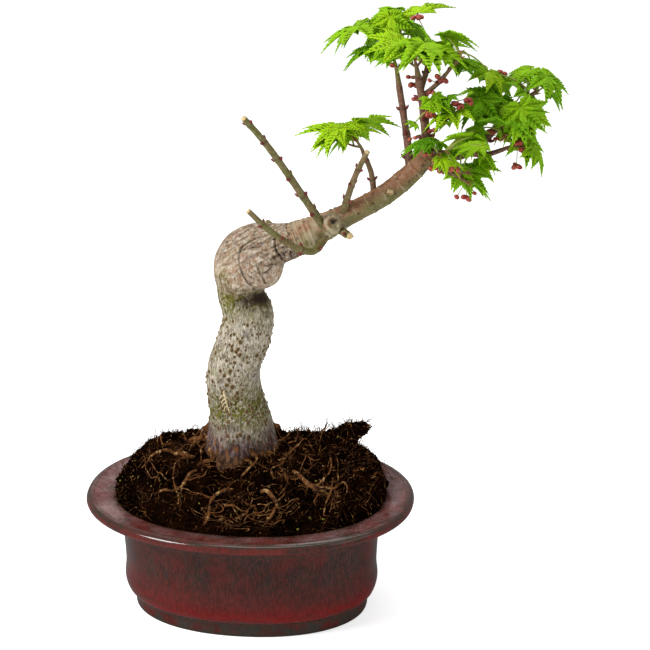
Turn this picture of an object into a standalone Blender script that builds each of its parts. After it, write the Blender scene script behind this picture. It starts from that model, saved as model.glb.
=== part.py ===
"""Japanese maple bonsai, about 34 cm high, standing in an oval glazed pot with a flat rim.

Metres, +Z up. The origin lies on the flat underside of the pot, under the middle of its oval.
The pot's long side runs along X, and the front of the tree looks along -Y.
"""

import math
import random

import bmesh
import bpy
import numpy as np
from mathutils import Matrix, Vector
from mathutils.bvhtree import BVHTree

MM = 0.001
GAP = 0.3 * MM  # clearance where one piece rests on another

# Pot: an oval that keeps its shape as it is inset from the outer edge of the rim
POT_LENGTH = 180 * MM
POT_WIDTH = 140 * MM
OVAL_POWER = 2.12  # 2 is a true ellipse, more is fuller at the corners
OVAL_SEGMENTS = 32
RIM_WIDTH = 16.5 * MM
FLOOR = 8 * MM
FLOOR_INSET = 32 * MM  # where the inside meets the floor
DRAIN_RADIUS = 6 * MM
DRAIN_OFFSET = 27 * MM
DRAIN_SEGMENTS = 16

# Root ball: fills the pot and stands proud of its rim, highest a little behind the trunk
BALL_RINGS = 6
BALL_LIP = 0.8 * MM  # height of the ball's top edge over the rim at the front
BALL_SHOULDER = 5 * MM  # extra height of that edge where the side bulges
BALL_RISE = 27.5 * MM  # height over the rim on the pot's long axis
BALL_TILT = 0.36  # rise gained for each metre towards the crest
BALL_FALL = 0.62  # rise lost for each metre behind the crest
CREST_Y = 13 * MM
BULGE = 2.2 * MM  # how far the ball's sides stand out over the rim
LUMP = 1.3 * MM
CLOD_AT = (58 * MM, 24 * MM)
CLOD_RISE = 15 * MM
CLOD_SPREAD = 11 * MM
ROOT_STEPS = 5
ROOT_SIDES = 4
# Roots that lie bare on the ball, in degrees and mm: angle and distance of each end, then radius
BARE_ROOTS = [
    (-38, 27, -22, 66, 1.7),
    (-62, 30, -74, 50, 1.5),
    (-100, 28, -118, 50, 1.3),
    (186, 27, 188, 66, 1.5),
    (215, 30, 206, 58, 1.2),
    (120, 28, 150, 58, 1.3),
]

# Trunk and main bough: one line of wood, as (x, y, z, radius) in millimetres
GROUND_Z = 84 * MM
WOOD_LINE = [
    (-5.0, 7.5, 84.0, 20.5),
    (-5.7, 7.2, 102.0, 17.6),
    (-7.6, 5.5, 118.0, 15.2),
    (-8.7, 3.1, 131.0, 14.5),
    (-6.0, -0.6, 145.0, 13.8),
    (-1.0, -2.0, 158.0, 13.6),
    (0.4, -0.9, 169.0, 13.4),
    (-3.4, 1.2, 180.5, 12.2),
    (-2.6, 3.7, 194.0, 16.0),
    (4.5, 3.5, 202.7, 15.6),
    (15.2, 2.6, 207.2, 11.6),
    (24.2, 2.5, 210.3, 9.4),
    (32.0, 3.2, 213.8, 8.4),
    (41.5, 3.4, 218.2, 7.2),
    (50.3, 3.3, 223.4, 6.1),
    (59.7, 3.4, 228.6, 5.6),
    (72.0, 4.5, 235.8, 5.4),
    (83.1, 6.7, 244.9, 5.3),
    (91.5, 9.3, 253.3, 4.7),
    (95.2, 10.4, 258.0, 4.0),
]
TRUNK_STATIONS = 12  # the first of them belong to the trunk, and the last one is where it meets the bough
WOOD_SIDES = 12
FLARE_TOP = 22 * MM  # height over which the root flare dies away
FLARE_DEPTH = 0.17
BURLS = [((6.0, -1.5, 198.0), 13.8), ((-4.0, -2.0, 192.5), 12.5)]  # swellings on the bend: centre, radius
COLLARS = [((45.7, -3.6, 221.8), 5.2), ((35.0, -1.5, 212.5), 5.6)]  # swollen knots on the bough

# Limbs that leave the trunk line or another limb: stations (x, y, z, radius) in millimetres
LIMBS = {
    "bough_left_upright": [
        (84.6, 11.0, 243.0, 2.3),
        (82.4, 18.4, 260.0, 2.0),
        (80.3, 20.6, 272.2, 1.8),
        (77.2, 24.2, 288.5, 1.7),
    ],
    "bough_centre_upright": [
        (95.2, 9.4, 256.0, 2.7),
        (92.5, 5.7, 268.0, 2.4),
        (90.7, 3.5, 283.6, 2.1),
        (88.1, 1.2, 298.9, 1.8),
    ],
    "bough_right": [
        (94.0, 9.6, 257.2, 2.6),
        (102.7, 10.8, 256.0, 2.4),
        (110.8, 13.7, 255.6, 2.3),
        (121.8, 16.8, 262.9, 2.1),
        (131.2, 19.8, 272.4, 1.9),
        (140.1, 22.8, 281.0, 1.6),
    ],
    "bough_top_back": [(89.6, 3.0, 291.0, 1.5), (92.0, 13.0, 301.0, 1.3), (93.0, 19.0, 312.0, 1.1)],
    "bough_top_side": [(91.2, 4.2, 288.5, 1.4), (97.7, 1.2, 295.0, 1.2), (102.0, -1.4, 300.5, 1.1)],
    "bough_inner": [(91.0, 4.0, 279.0, 1.4), (95.5, 0.0, 282.6, 1.2)],
    "bough_right_front": [(123.5, 17.2, 264.6, 1.5), (128.0, 11.6, 269.5, 1.2)],
    "bough_right_back": [(132.0, 20.2, 273.2, 1.5), (129.0, 30.0, 281.5, 1.3), (126.5, 36.0, 285.5, 1.2)],
    "bough_right_low": [(112.5, 14.1, 256.4, 1.6), (123.2, 11.1, 256.8, 1.4), (131.5, 9.1, 260.0, 1.2)],
    "bough_low": [(93.0, 9.0, 254.6, 1.8), (102.0, 4.8, 250.0, 1.4), (106.4, 2.3, 248.4, 1.2)],
    "bough_front": [(94.6, 8.4, 257.4, 1.7), (96.8, 0.6, 259.8, 1.4), (98.4, -8.0, 262.0, 1.2)],
    "twig_tuft": [(66.4, 6.0, 232.0, 1.7), (64.6, 7.2, 246.0, 1.4), (60.8, 4.8, 257.0, 1.2)],
    "pruned_twig_long": [
        (40.6, -2.0, 219.5, 2.2),
        (31.1, -12.8, 239.0, 1.95),
        (16.0, -26.5, 267.0, 1.7),
        (4.9, -35.7, 284.0, 1.5),
    ],
    "pruned_twig_curved": [
        (41.5, -1.0, 213.2, 2.2),
        (36.6, -15.6, 210.2, 1.9),
        (26.5, -23.4, 215.6, 1.7),
        (14.3, -27.7, 225.8, 1.5),
        (5.5, -29.6, 235.1, 1.35),
    ],
    "pruned_twig_short": [(49.8, 0.5, 224.0, 1.9), (56.8, -8.1, 246.6, 1.55), (64.3, -15.4, 263.4, 1.35)],
    "pruned_stub_back": [(20.5, 6.0, 209.5, 1.9), (8.3, 19.0, 214.6, 1.6)],
    "pruned_stub_front": [(46.0, 0.5, 219.0, 2.5), (55.4, -9.2, 216.8, 1.7)],
}
LIMB_SIDES = 6
LIMB_STEPS = 2
PARENT_OF_LIMB = {  # limbs that grow from another limb; the rest grow from the trunk line
    "bough_top_back": "bough_centre_upright",
    "bough_top_side": "bough_centre_upright",
    "bough_inner": "bough_centre_upright",
    "bough_right_front": "bough_right",
    "bough_right_back": "bough_right",
    "bough_right_low": "bough_right",
}
KEEP_CLEAR = {  # neighbours at the crowded fork, cut back so that each limb has its own space
    "bough_right": ["bough_centre_upright"],
    "bough_low": ["bough_right", "bough_centre_upright"],
    "bough_front": ["bough_right", "bough_centre_upright", "bough_low"],
    "bough_right_back": ["bough_right_front"],
    "bough_top_back": ["bough_top_side"],
    "pruned_twig_curved": ["pruned_twig_long"],
    "pruned_twig_short": ["pruned_twig_long", "pruned_stub_front"],
    "pruned_stub_front": ["pruned_twig_long", "pruned_twig_curved"],
}

# Foliage: each mass grows from the tip of one limb and keeps to an egg-shaped space (centre and reach, mm)
FOLIAGE = {
    "foliage_tuft": dict(
        limb="twig_tuft",
        centre=(52, 6, 265),
        reach=(36, 34, 20),
        stem=8,
        leaf=29,
        petiole=11,
        berries=0,
        seed=82,
    ),
    "foliage_top_left": dict(
        limb="bough_left_upright",
        centre=(64, 35, 316),
        reach=(43, 38, 28),
        stem=17,
        leaf=25,
        petiole=14,
        berries=1,
        seed=440,
    ),
    "foliage_top_middle": dict(
        limb="bough_centre_upright",
        centre=(86, -14, 310),
        reach=(38, 34, 25),
        stem=9,
        leaf=27,
        petiole=13,
        berries=1,
        seed=211,
    ),
    "foliage_top_back": dict(
        limb="bough_top_back",
        centre=(103, 30, 326),
        reach=(30, 34, 24),
        stem=8,
        leaf=23,
        petiole=11,
        berries=1,
        seed=283,
    ),
    "foliage_top_side": dict(
        limb="bough_top_side",
        centre=(117, 4, 312),
        reach=(32, 34, 26),
        stem=12,
        leaf=25,
        petiole=12,
        berries=1,
        seed=137,
    ),
    "foliage_inner": dict(
        limb="bough_inner",
        centre=(104, -18, 286),
        reach=(25, 24, 15),
        stem=7,
        leaf=17,
        petiole=9,
        berries=2,
        seed=50,
    ),
    "foliage_outer": dict(
        limb="bough_right",
        centre=(150, 32, 284),
        reach=(27, 34, 25),
        stem=10,
        leaf=23,
        petiole=11,
        berries=1,
        seed=265,
    ),
    "foliage_right": dict(
        limb="bough_right_front",
        centre=(134, -6, 276),
        reach=(33, 34, 23),
        stem=10,
        leaf=25,
        petiole=12,
        berries=1,
        seed=283,
    ),
    "foliage_right_back": dict(
        limb="bough_right_back",
        centre=(122, 52, 288),
        reach=(32, 34, 25),
        stem=12,
        leaf=23,
        petiole=12,
        berries=0,
        seed=17,
    ),
    "foliage_front": dict(
        limb="bough_front",
        centre=(100, -28, 261),
        reach=(30, 30, 19),
        stem=9,
        leaf=22,
        petiole=10,
        berries=2,
        seed=10,
    ),
    "foliage_low": dict(
        limb="bough_low",
        centre=(114, 0, 242),
        reach=(30, 32, 22),
        stem=9,
        leaf=22,
        petiole=10,
        berries=2,
        seed=98,
    ),
    "foliage_right_low": dict(
        limb="bough_right_low",
        centre=(147, 8, 252),
        reach=(26, 30, 22),
        stem=9,
        leaf=25,
        petiole=10,
        berries=2,
        seed=250,
    ),
}
LOBES = [(-118, 0.42), (-78, 0.76), (-38, 0.94), (0, 1.0), (38, 0.94), (78, 0.76), (118, 0.42)]
LOBE_HALF_WIDTH = 0.14  # share of the leaf's length
SHOULDER_AT = 0.56  # where along a lobe it is widest
SINUS_AT = 0.40  # depth of the notch between lobes, as a share of the leaf's length
LEAF_DROOP = 0.30
LEAF_THICKNESS = 0.6 * MM
STEM_RADIUS = 0.95 * MM
PETIOLE_RADIUS = 0.55 * MM
BERRY_RADIUS = 2.0 * MM
BERRIES = 2  # in a cluster
BERRY_SPREAD = 0.75  # how far they sit from the middle of their cluster, in radii
BERRY_RIM = [(0, 0, -1), (1, 0, 0), (0, 1, 0), (-1, 0, 0), (0, -1, 0)]  # sides on which one needs room
TWIG_LEVELS = 1  # times that side twigs branch off
LEAF_TRIES = 80
LEAF_SHRINK = 0.45  # a leaf that finds no room grows smaller at each try, down by this share
TWIG_TRIES = 12
SPACE_MARGIN = 0.035  # clear band between two masses, in shares of their reach
LIMB_MARGIN = 1.2 * MM
SMOOTH_BELOW = math.radians(50)  # edges sharper than this stay crisp


# Scene and materials


def clear_scene():
    for old in list(bpy.data.objects):
        bpy.data.objects.remove(old, do_unlink=True)


def finish(name, colour, roughness):
    material = bpy.data.materials.new(name)
    material.use_nodes = True
    shader = material.node_tree.nodes["Principled BSDF"]
    shader.inputs["Base Color"].default_value = (*colour, 1.0)
    shader.inputs["Roughness"].default_value = roughness
    shader.inputs["Metallic"].default_value = 0.0
    material.diffuse_color = (*colour, 1.0)
    return material


def place(name, bm, material):
    """A named object from a bmesh, with its faces pointing out."""
    bmesh.ops.recalc_face_normals(bm, faces=bm.faces)
    mesh = bpy.data.meshes.new(name)
    bm.to_mesh(mesh)
    bm.free()
    mesh.shade_smooth()
    mesh.set_sharp_from_angle(angle=SMOOTH_BELOW)
    mesh.materials.append(material)
    piece = bpy.data.objects.new(name, mesh)
    bpy.context.scene.collection.objects.link(piece)
    return piece


# Shapes


def loft(name, rings, material):
    """A closed body skinned through rings of equal count, with a flat face over each end.

    Each four-sided patch is split along the same diagonal, so a grown copy runs parallel to the original.
    """
    bm = bmesh.new()
    rows = [[bm.verts.new(point) for point in ring] for ring in rings]
    for lower, upper in zip(rows, rows[1:]):
        for i, vertex in enumerate(lower):
            j = (i + 1) % len(lower)
            bm.faces.new((vertex, lower[j], upper[j]))
            bm.faces.new((vertex, upper[j], upper[i]))
    bm.faces.new(rows[0][::-1])
    bm.faces.new(rows[-1])
    return place(name, bm, material)


def smooth_line(stations, steps):
    """Stations joined by a Catmull-Rom curve; every value of a station is carried along."""
    line = []
    last = len(stations) - 1
    for i in range(last):
        before, here = stations[max(i - 1, 0)], stations[i]
        ahead, after = stations[i + 1], stations[min(i + 2, last)]
        for k in range(steps):
            t = k / steps
            station = []
            for a, b, c, d in zip(before, here, ahead, after):
                bend = (2 * a - 5 * b + 4 * c - d) * t**2 + (3 * b - a - 3 * c + d) * t**3
                station.append(0.5 * (2 * b + (c - a) * t + bend))
            line.append(tuple(station))
    line.append(tuple(stations[-1]))
    return line


def tangents_of(points):
    last = len(points) - 1
    return [(points[min(i + 1, last)] - points[max(i - 1, 0)]).normalized() for i in range(last + 1)]


def tube_rings(points, radii, sides, shape=None):
    """Rings square to a path, turned along it without twist. shape(angle, point) scales the radius."""
    tangents = tangents_of(points)
    side = (Vector((1, 0, 0)) - tangents[0] * tangents[0].x).normalized()
    rings = []
    for i, (point, radius) in enumerate(zip(points, radii)):
        if i:
            side = tangents[i - 1].rotation_difference(tangents[i]) @ side
        other = tangents[i].cross(side)
        ring = []
        for k in range(sides):
            angle = 2 * math.pi * k / sides
            r = radius * (shape(angle, point) if shape else 1.0)
            ring.append(point + r * (math.cos(angle) * side + math.sin(angle) * other))
        rings.append(ring)
    return rings


def ball(name, centre, radius, material, cuts=2):
    bm = bmesh.new()
    bmesh.ops.create_icosphere(bm, subdivisions=cuts, radius=radius, matrix=Matrix.Translation(centre))
    return place(name, bm, material)


def helper(piece):
    """Marks an object as a cutter, which is no part of the model."""
    piece.hide_render = True
    piece.display_type = "WIRE"
    return piece


def cut(piece, cutter):
    """Cuts piece back from a cutter, with a modifier that stays on it."""
    modifier = piece.modifiers.new("clear_of_" + cutter.name, "BOOLEAN")
    modifier.operation = "DIFFERENCE"
    modifier.solver = "EXACT"
    modifier.object = cutter
    return piece


def largest_island(mesh):
    """Removes every part of the mesh that isn't joined to its largest part."""
    bm = bmesh.new()
    bm.from_mesh(mesh)
    left, islands = set(bm.verts), []
    while left:
        island, edge = set(), [left.pop()]
        while edge:
            vertex = edge.pop()
            island.add(vertex)
            for link in vertex.link_edges:
                other = link.other_vert(vertex)
                if other in left:
                    left.remove(other)
                    edge.append(other)
        islands.append(island)
    islands.sort(key=len, reverse=True)
    scraps = [vertex for island in islands[1:] for vertex in island]
    bmesh.ops.delete(bm, geom=scraps, context="VERTS")
    bm.to_mesh(mesh)
    bm.free()
    mesh.shade_smooth()
    mesh.set_sharp_from_angle(angle=SMOOTH_BELOW)
    return len(islands) - 1


def fuse(piece, others, solver="EXACT"):
    """Joins the others to piece by one Boolean union, and removes them."""
    together = bpy.data.collections.new(piece.name + "_parts")
    bpy.context.scene.collection.children.link(together)
    for other in others:
        bpy.context.scene.collection.objects.unlink(other)
        together.objects.link(other)
    modifier = piece.modifiers.new("fused", "BOOLEAN")
    modifier.operation = "UNION"
    modifier.solver = solver
    modifier.operand_type = "COLLECTION"
    modifier.collection = together
    graph = bpy.context.evaluated_depsgraph_get()
    joined = bpy.data.meshes.new_from_object(piece.evaluated_get(graph))
    piece.modifiers.clear()
    piece.data = joined
    for other in others:
        bpy.data.objects.remove(other, do_unlink=True)
    bpy.data.collections.remove(together)
    return largest_island(joined)


# Pot


def oval_radius(angle, inset):
    """Distance from the pot's axis to its oval at an inset from the rim's outer edge."""
    along = abs(math.cos(angle)) / (POT_LENGTH / 2 - inset)
    across = abs(math.sin(angle)) / (POT_WIDTH / 2 - inset)
    return (along**OVAL_POWER + across**OVAL_POWER) ** (-1 / OVAL_POWER)


def oval_ring(inset, z, count):
    ring = []
    for k in range(count):
        angle = 2 * math.pi * (k + 0.5) / count
        r = oval_radius(angle, inset)
        ring.append(Vector((r * math.cos(angle), r * math.sin(angle), z)))
    return ring


# Outer profile from the foot to the lip, then the inside down to the floor: (inset, height) in millimetres
POT_OUTSIDE = [
    (26.2, 0.0), (25.2, 1.0), (25.0, 7.2), (21.4, 11.0), (19.7, 17.5), (20.4, 28.0), (19.0, 47.5),
    (17.0, 53.5), (11.0, 59.0), (2.2, 61.4), (0.0, 63.6), (0.8, 66.0), (3.2, 67.0),
]
POT_INSIDE = [(15.0, 65.2), (16.5, 63.8), (22.5, 56.0), (26.0, 46.0), (28.0, 11.0)]
BALL_SEAT = POT_INSIDE[1][1] * MM  # where the root ball leaves the inside of the pot


def make_pot(material):
    profile = [(inset * MM, z * MM) for inset, z in POT_OUTSIDE + POT_INSIDE] + [(FLOOR_INSET, FLOOR)]
    pot = loft("pot", [oval_ring(inset, z, OVAL_SEGMENTS) for inset, z in profile], material)
    for name, side in (("drain_left", -1), ("drain_right", 1)):
        bm = bmesh.new()
        bmesh.ops.create_cone(
            bm,
            cap_ends=True,
            segments=DRAIN_SEGMENTS,
            radius1=DRAIN_RADIUS,
            radius2=DRAIN_RADIUS,
            depth=4 * FLOOR,
            matrix=Matrix.Translation((side * DRAIN_OFFSET, 0, FLOOR / 2)),
        )
        cut(pot, helper(place(name, bm, material)))
    return pot


# Root ball


def ball_bulge(angle):
    """How much the ball's side stands out: none at the front, all of it at the back."""
    return min(1.0, max(0.0, 0.75 + 0.9 * math.sin(angle))) ** 2 * (1 + 0.25 * math.sin(5 * angle))


def ball_edge(angle):
    """Distance and height of the top edge of the ball's side."""
    bulge = ball_bulge(angle)
    inset = RIM_WIDTH + GAP - BULGE * bulge
    return oval_radius(angle, inset), BALL_SEAT + BALL_LIP + BALL_SHOULDER * bulge


def ball_height(x, y):
    """Height of the ball at a point: steep sides, a long slope at the front, a clod at the back right."""
    angle = math.atan2(y, x)
    edge_r, edge_z = ball_edge(angle)
    share = min(math.hypot(x, y) / edge_r, 1.0)
    steep = 3.0 + 2.0 * abs(math.cos(angle)) + 4.0 * max(0.0, math.cos(angle))
    steep += 3.0 * max(0.0, math.sin(angle))
    rise = BALL_RISE + BALL_TILT * min(y, CREST_Y) - BALL_FALL * max(0.0, y - CREST_Y) + 0.04 * x
    rise = max(rise - (edge_z - BALL_SEAT), 1 * MM)
    away = ((x - CLOD_AT[0]) ** 2 + (y - CLOD_AT[1]) ** 2) / CLOD_SPREAD**2
    lumps = math.sin(x * 310 + 2 * math.sin(y * 160)) * math.cos(y * 270 + 0.6)
    lumps = LUMP * (lumps + 0.5 * math.sin(x * 520 - y * 410)) * min(1.0, 2 * share)
    clod = CLOD_RISE * math.exp(-away)
    return edge_z + rise * (1 - share**steep) + (lumps + clod) * (1 - share**6)


def make_root_ball(material, trunk_foot):
    rings = [oval_ring(FLOOR_INSET + GAP, FLOOR + GAP, OVAL_SEGMENTS)]
    for inset, z in reversed(POT_INSIDE[1:]):
        rings.append(oval_ring(inset * MM + 1.5 * GAP, z * MM, OVAL_SEGMENTS))
    angles = [2 * math.pi * (k + 0.5) / OVAL_SEGMENTS for k in range(OVAL_SEGMENTS)]
    for k in range(BALL_RINGS + 1):
        share = 1 - k / (BALL_RINGS + 0.6)
        ring = []
        for angle in angles:
            r, z = ball_edge(angle)
            x, y = share * r * math.cos(angle), share * r * math.sin(angle)
            ring.append(Vector((x, y, ball_height(x, y) if k else z)))
        rings.append(ring)
    root_ball = loft("root_ball", rings, material)
    roots = []
    for from_angle, from_r, to_angle, to_r, radius in BARE_ROOTS:
        path = []
        for k in range(ROOT_STEPS + 1):
            t = k / ROOT_STEPS
            angle = math.radians(from_angle + (to_angle - from_angle) * t + 7 * math.sin(5 * t + from_r))
            r = (from_r + (to_r - from_r) * t) * MM
            x, y = r * math.cos(angle), r * math.sin(angle)
            path.append(Vector((x, y, ball_height(x, y) + radius * MM * (0.5 - 1.6 * t**3))))
        radii = [radius * MM * (1 - 0.5 * k / ROOT_STEPS) for k in range(ROOT_STEPS + 1)]
        roots.append(loft("bare_root", tube_rings(path, radii, ROOT_SIDES), material))
    fuse(root_ball, roots)
    return cut(root_ball, trunk_foot)


# Trunk and limbs


def metres(stations):
    return [tuple(value * MM for value in station) for station in stations]


def flare(angle, point):
    """Root flare: buttresses at the ground that die away up the trunk."""
    height = (point.z - GROUND_Z) / FLARE_TOP
    if height > 1:
        return 1.0
    wave = math.cos(3 * angle + 0.7) + 0.55 * math.cos(5 * angle + 2.1)
    return 1.0 + FLARE_DEPTH * (1 - height) ** 2 * (0.4 + wave)


def wood_rings(grow=0.0):
    """The rings of trunk and bough as one line, and the index of the ring where they meet."""
    line = smooth_line(metres(WOOD_LINE), 2)
    points = [Vector(station[:3]) for station in line]
    radii = [station[3] + grow for station in line]
    return points, tube_rings(points, radii, WOOD_SIDES, flare), 2 * (TRUNK_STATIONS - 1)


def make_wood(bark, young_bark):
    points, rings, joint = wood_rings()
    trunk = loft("trunk", rings[: joint + 1], bark)
    fuse(trunk, [ball("burl", [c * MM for c in at], r * MM, bark) for at, r in BURLS])
    step = (points[joint + 1] - points[joint - 1]).normalized() * GAP
    bough = loft("main_bough", [[p + step for p in rings[joint]]] + rings[joint + 1 :], young_bark)
    fuse(bough, [ball("collar", [c * MM for c in at], r * MM, young_bark) for at, r in COLLARS])
    return trunk, bough


def make_wood_clearance(material):
    """The trunk line and its swellings, grown by the gap: what limbs and soil are cut back from."""
    _, rings, _ = wood_rings(GAP)
    foot = [p - Vector((0, 0, GAP)) for p in rings[0]]
    clearance = loft("wood_clearance", [foot] + rings, material)
    swellings = []
    for at, r in BURLS + COLLARS:
        swellings.append(ball("swelling", [c * MM for c in at], r * MM + GAP, material))
    fuse(clearance, swellings)
    return helper(clearance)


def limb_line(name):
    line = smooth_line(metres(LIMBS[name]), LIMB_STEPS)
    return [Vector(station[:3]) for station in line], [station[3] for station in line]


def make_limbs(material, wood_clearance):
    clearances = {}
    for name in sorted({n for near in KEEP_CLEAR.values() for n in near} | set(PARENT_OF_LIMB.values())):
        points, radii = limb_line(name)
        rings = tube_rings(points, [r + GAP for r in radii], LIMB_SIDES)
        clearances[name] = helper(loft(name + "_clearance", rings, material))
    for name in LIMBS:
        points, radii = limb_line(name)
        limb = loft(name, tube_rings(points, radii, LIMB_SIDES), material)
        parent = PARENT_OF_LIMB.get(name)
        cut(limb, clearances[parent] if parent else wood_clearance)
        for near in KEEP_CLEAR.get(name, []):
            cut(limb, clearances[near])


# Foliage


def capsules(limbs):
    """Limbs as rows of straight pieces: their starts, runs and radii, for distance checks."""
    starts, runs, radii = [], [], []
    for points, thickness in limbs:
        for a, b, r in zip(points, points[1:], thickness):
            starts.append(a)
            runs.append(b - a)
            radii.append(r)
    return np.array(starts), np.array(runs), np.array(radii)


def all_wood():
    line = smooth_line(metres(WOOD_LINE), 2)
    trunk = [Vector(station[:3]) for station in line], [station[3] for station in line]
    return capsules([trunk] + [limb_line(name) for name in LIMBS])


def mass_root(mass):
    points, _ = limb_line(FOLIAGE[mass]["limb"])
    return points[-1], (points[-1] - points[-2]).normalized()


def fits(mass, samples, wood):
    """Whether points keep to their mass's space and stay clear of the wood.

    A point is in the space of the mass whose centre is nearest, counted in shares of that mass's reach.
    """
    points = np.array(samples)
    shares = {}
    for name, spec in FOLIAGE.items():
        shares[name] = np.linalg.norm((points / MM - spec["centre"]) / spec["reach"], axis=1)
    own = shares.pop(mass)
    if own.max() > 1.0 or (np.min(list(shares.values()), axis=0) < own + SPACE_MARGIN).any():
        return False
    starts, runs, radii = wood
    offsets = points[:, None, :] - starts
    along = np.clip((offsets * runs).sum(-1) / (runs * runs).sum(-1), 0.0, 1.0)
    away = np.linalg.norm(offsets - along[..., None] * runs, axis=-1) - radii
    return away.min() > LIMB_MARGIN


def leaf_points(length):
    """Outline of a leaf as (forward, sideways, drop), from its stalk round its lobes, then the hub."""
    outline = [(-0.05 * length, 0.0)]
    last = len(LOBES) - 1
    for i, (angle, share) in enumerate(LOBES):
        a, tip = math.radians(angle), share * length
        for side in (-1, 0, 1) if 0 < i < last else (0,):
            along = tip if side == 0 else SHOULDER_AT * tip
            across = side * LOBE_HALF_WIDTH * length
            x, y = along * math.cos(a) - across * math.sin(a), along * math.sin(a) + across * math.cos(a)
            outline.append((x, y))
        if i < last:
            middle = math.radians((angle + LOBES[i + 1][0]) / 2)
            notch = SINUS_AT * length * math.sqrt(share * LOBES[i + 1][1])
            outline.append((notch * math.cos(middle), notch * math.sin(middle)))
    outline.append((0.05 * length, 0.0))
    return [(x, y, LEAF_DROOP * length * ((x * x + y * y) / length**2) ** 0.9) for x, y in outline]


def heading_of(azimuth, rise):
    return Vector((math.cos(azimuth) * math.cos(rise), math.sin(azimuth) * math.cos(rise), math.sin(rise)))


def leaf_world(leaf):
    """The leaf's outline and hub in place: forward along its middle lobe, pitched down and rolled."""
    forward = heading_of(leaf["azimuth"], -leaf["pitch"])
    roll = leaf["roll"]
    level = Vector((0, 0, 1)).cross(forward).normalized()
    side = level * math.cos(roll) + forward.cross(level) * math.sin(roll)
    normal = forward.cross(side)
    flat = leaf_points(leaf["length"])
    return [leaf["hub"] + forward * x + side * y - normal * drop for x, y, drop in flat], normal


def leaf_samples(leaf):
    points, _ = leaf_world(leaf)
    hub, outline = points[-1], points[:-1]
    middles = [(a + b) / 2 for a, b in zip(outline, outline[1:] + outline[:1])]
    return outline + middles + [p.lerp(hub, t) for p in outline for t in (0.3, 0.6)]


def leaf_tree(leaf):
    """The leaf's blade and stalk as a search tree, which finds whether another leaf would cross it."""
    points, _ = leaf_world(leaf)
    count = len(points) - 1
    faces = [(count, i, (i + 1) % count) for i in range(count)] + [(count + 1, count + 2, count)]
    return BVHTree.FromPolygons(points + [leaf["foot"], leaf["foot"].lerp(leaf["hub"], 0.5)], faces)


def turned(heading, angle, tilt):
    """A direction tilted away from a heading, towards an angle round it."""
    side = heading.cross(Vector((0, 0, 1)))
    side = side.normalized() if side.length > 0.05 else Vector((1, 0, 0))
    out = side * math.cos(angle) + heading.cross(side) * math.sin(angle)
    return (heading * math.cos(tilt) + out * math.sin(tilt)).normalized()


def grow_twig(mass, start, heading, length, level, chance, wood, grown):
    """The maple's rule, which each side twig repeats at a smaller size.

    A twig bends towards the middle of its space, and ends in a pair of leaves on opposite sides. Twigs of
    a higher level also carry a pair of side twigs half-way. Each leaf or side twig is tried a number of
    times with its own chance turns, and is left out if it fits nowhere.
    """
    spec = FOLIAGE[mass]
    lean = (Vector(spec["centre"]) * MM - start).normalized()
    middle = start + heading * length * 0.5
    end = middle + (heading + lean * 0.8).normalized() * length * 0.5
    thick = STEM_RADIUS * (1 if level else 0.75)
    grown["twigs"].append(([start, middle, end], [thick, thick * 0.9, thick * 0.75]))
    turn = chance.uniform(0, 360)
    if level:
        for half in (0, 180):
            for _ in range(TWIG_TRIES):
                angle = math.radians(turn + half + chance.uniform(-50, 50))
                side = turned(heading, angle, math.radians(chance.uniform(45, 80)))
                reach = length * chance.uniform(0.5, 0.9)
                if fits(mass, [middle + side * reach * t for t in (0.4, 0.7, 1.0)], wood):
                    grow_twig(mass, middle, side, reach, level - 1, chance, wood, grown)
                    break
    for half in (0, 180):
        for k in range(LEAF_TRIES):
            azimuth = math.radians(turn + 90 + half + chance.uniform(-60, 60))
            out = heading_of(azimuth, math.radians(chance.uniform(-10, 60)))
            room = 1 - LEAF_SHRINK * k / LEAF_TRIES
            leaf = {
                "foot": end,
                "hub": end + out * spec["petiole"] * chance.uniform(0.55, 1.25) * MM,
                "azimuth": azimuth + chance.uniform(-0.5, 0.5),
                "pitch": math.radians(chance.uniform(5, 55)),
                "roll": chance.uniform(-0.5, 0.5),
                "length": spec["leaf"] * chance.uniform(0.85, 1.15) * room * MM,
            }
            stalk = [end.lerp(leaf["hub"], t) for t in (0.35, 0.7, 1.0)]
            if fits(mass, leaf_samples(leaf) + stalk, wood):
                tree = leaf_tree(leaf)
                if not any(tree.overlap(other) for other in grown["trees"]):
                    grown["leaves"].append(leaf)
                    grown["trees"].append(tree)
                    break


def grow_berries(mass, chance, wood, grown):
    """Clusters of round buds that hang on stalks from the ends of the twigs."""
    for k in range(FOLIAGE[mass]["berries"]):
        foot = grown["twigs"][k % len(grown["twigs"])][0][-1]
        for _ in range(LEAF_TRIES):
            azimuth = chance.uniform(0, 2 * math.pi)
            out = heading_of(azimuth, -math.radians(chance.uniform(0, 65)))
            knot = foot + out * chance.uniform(5, 12) * MM
            around = [azimuth + 2 * math.pi * n / BERRIES for n in range(BERRIES)]
            spread = BERRY_SPREAD * BERRY_RADIUS
            spots = [knot + Vector((math.cos(a), math.sin(a), -0.5)) * spread for a in around]
            rims = [spot + Vector(side) * BERRY_RADIUS for spot in spots for side in BERRY_RIM]
            if fits(mass, spots + rims + [foot.lerp(knot, t) for t in (0.5, 1.0)], wood):
                grown["berries"].append({"foot": foot, "knot": knot, "spots": spots})
                break


def grow_mass(mass, tip, heading, wood):
    """All of a mass: twigs, leaves and berries, from a stem that starts a gap beyond its limb's tip."""
    spec = FOLIAGE[mass]
    chance = random.Random(spec["seed"])
    grown = {"twigs": [], "leaves": [], "trees": [], "berries": []}
    grow_twig(mass, tip + heading * GAP, heading, spec["stem"] * MM, TWIG_LEVELS, chance, wood, grown)
    grow_berries(mass, chance, wood, grown)
    return grown


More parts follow.
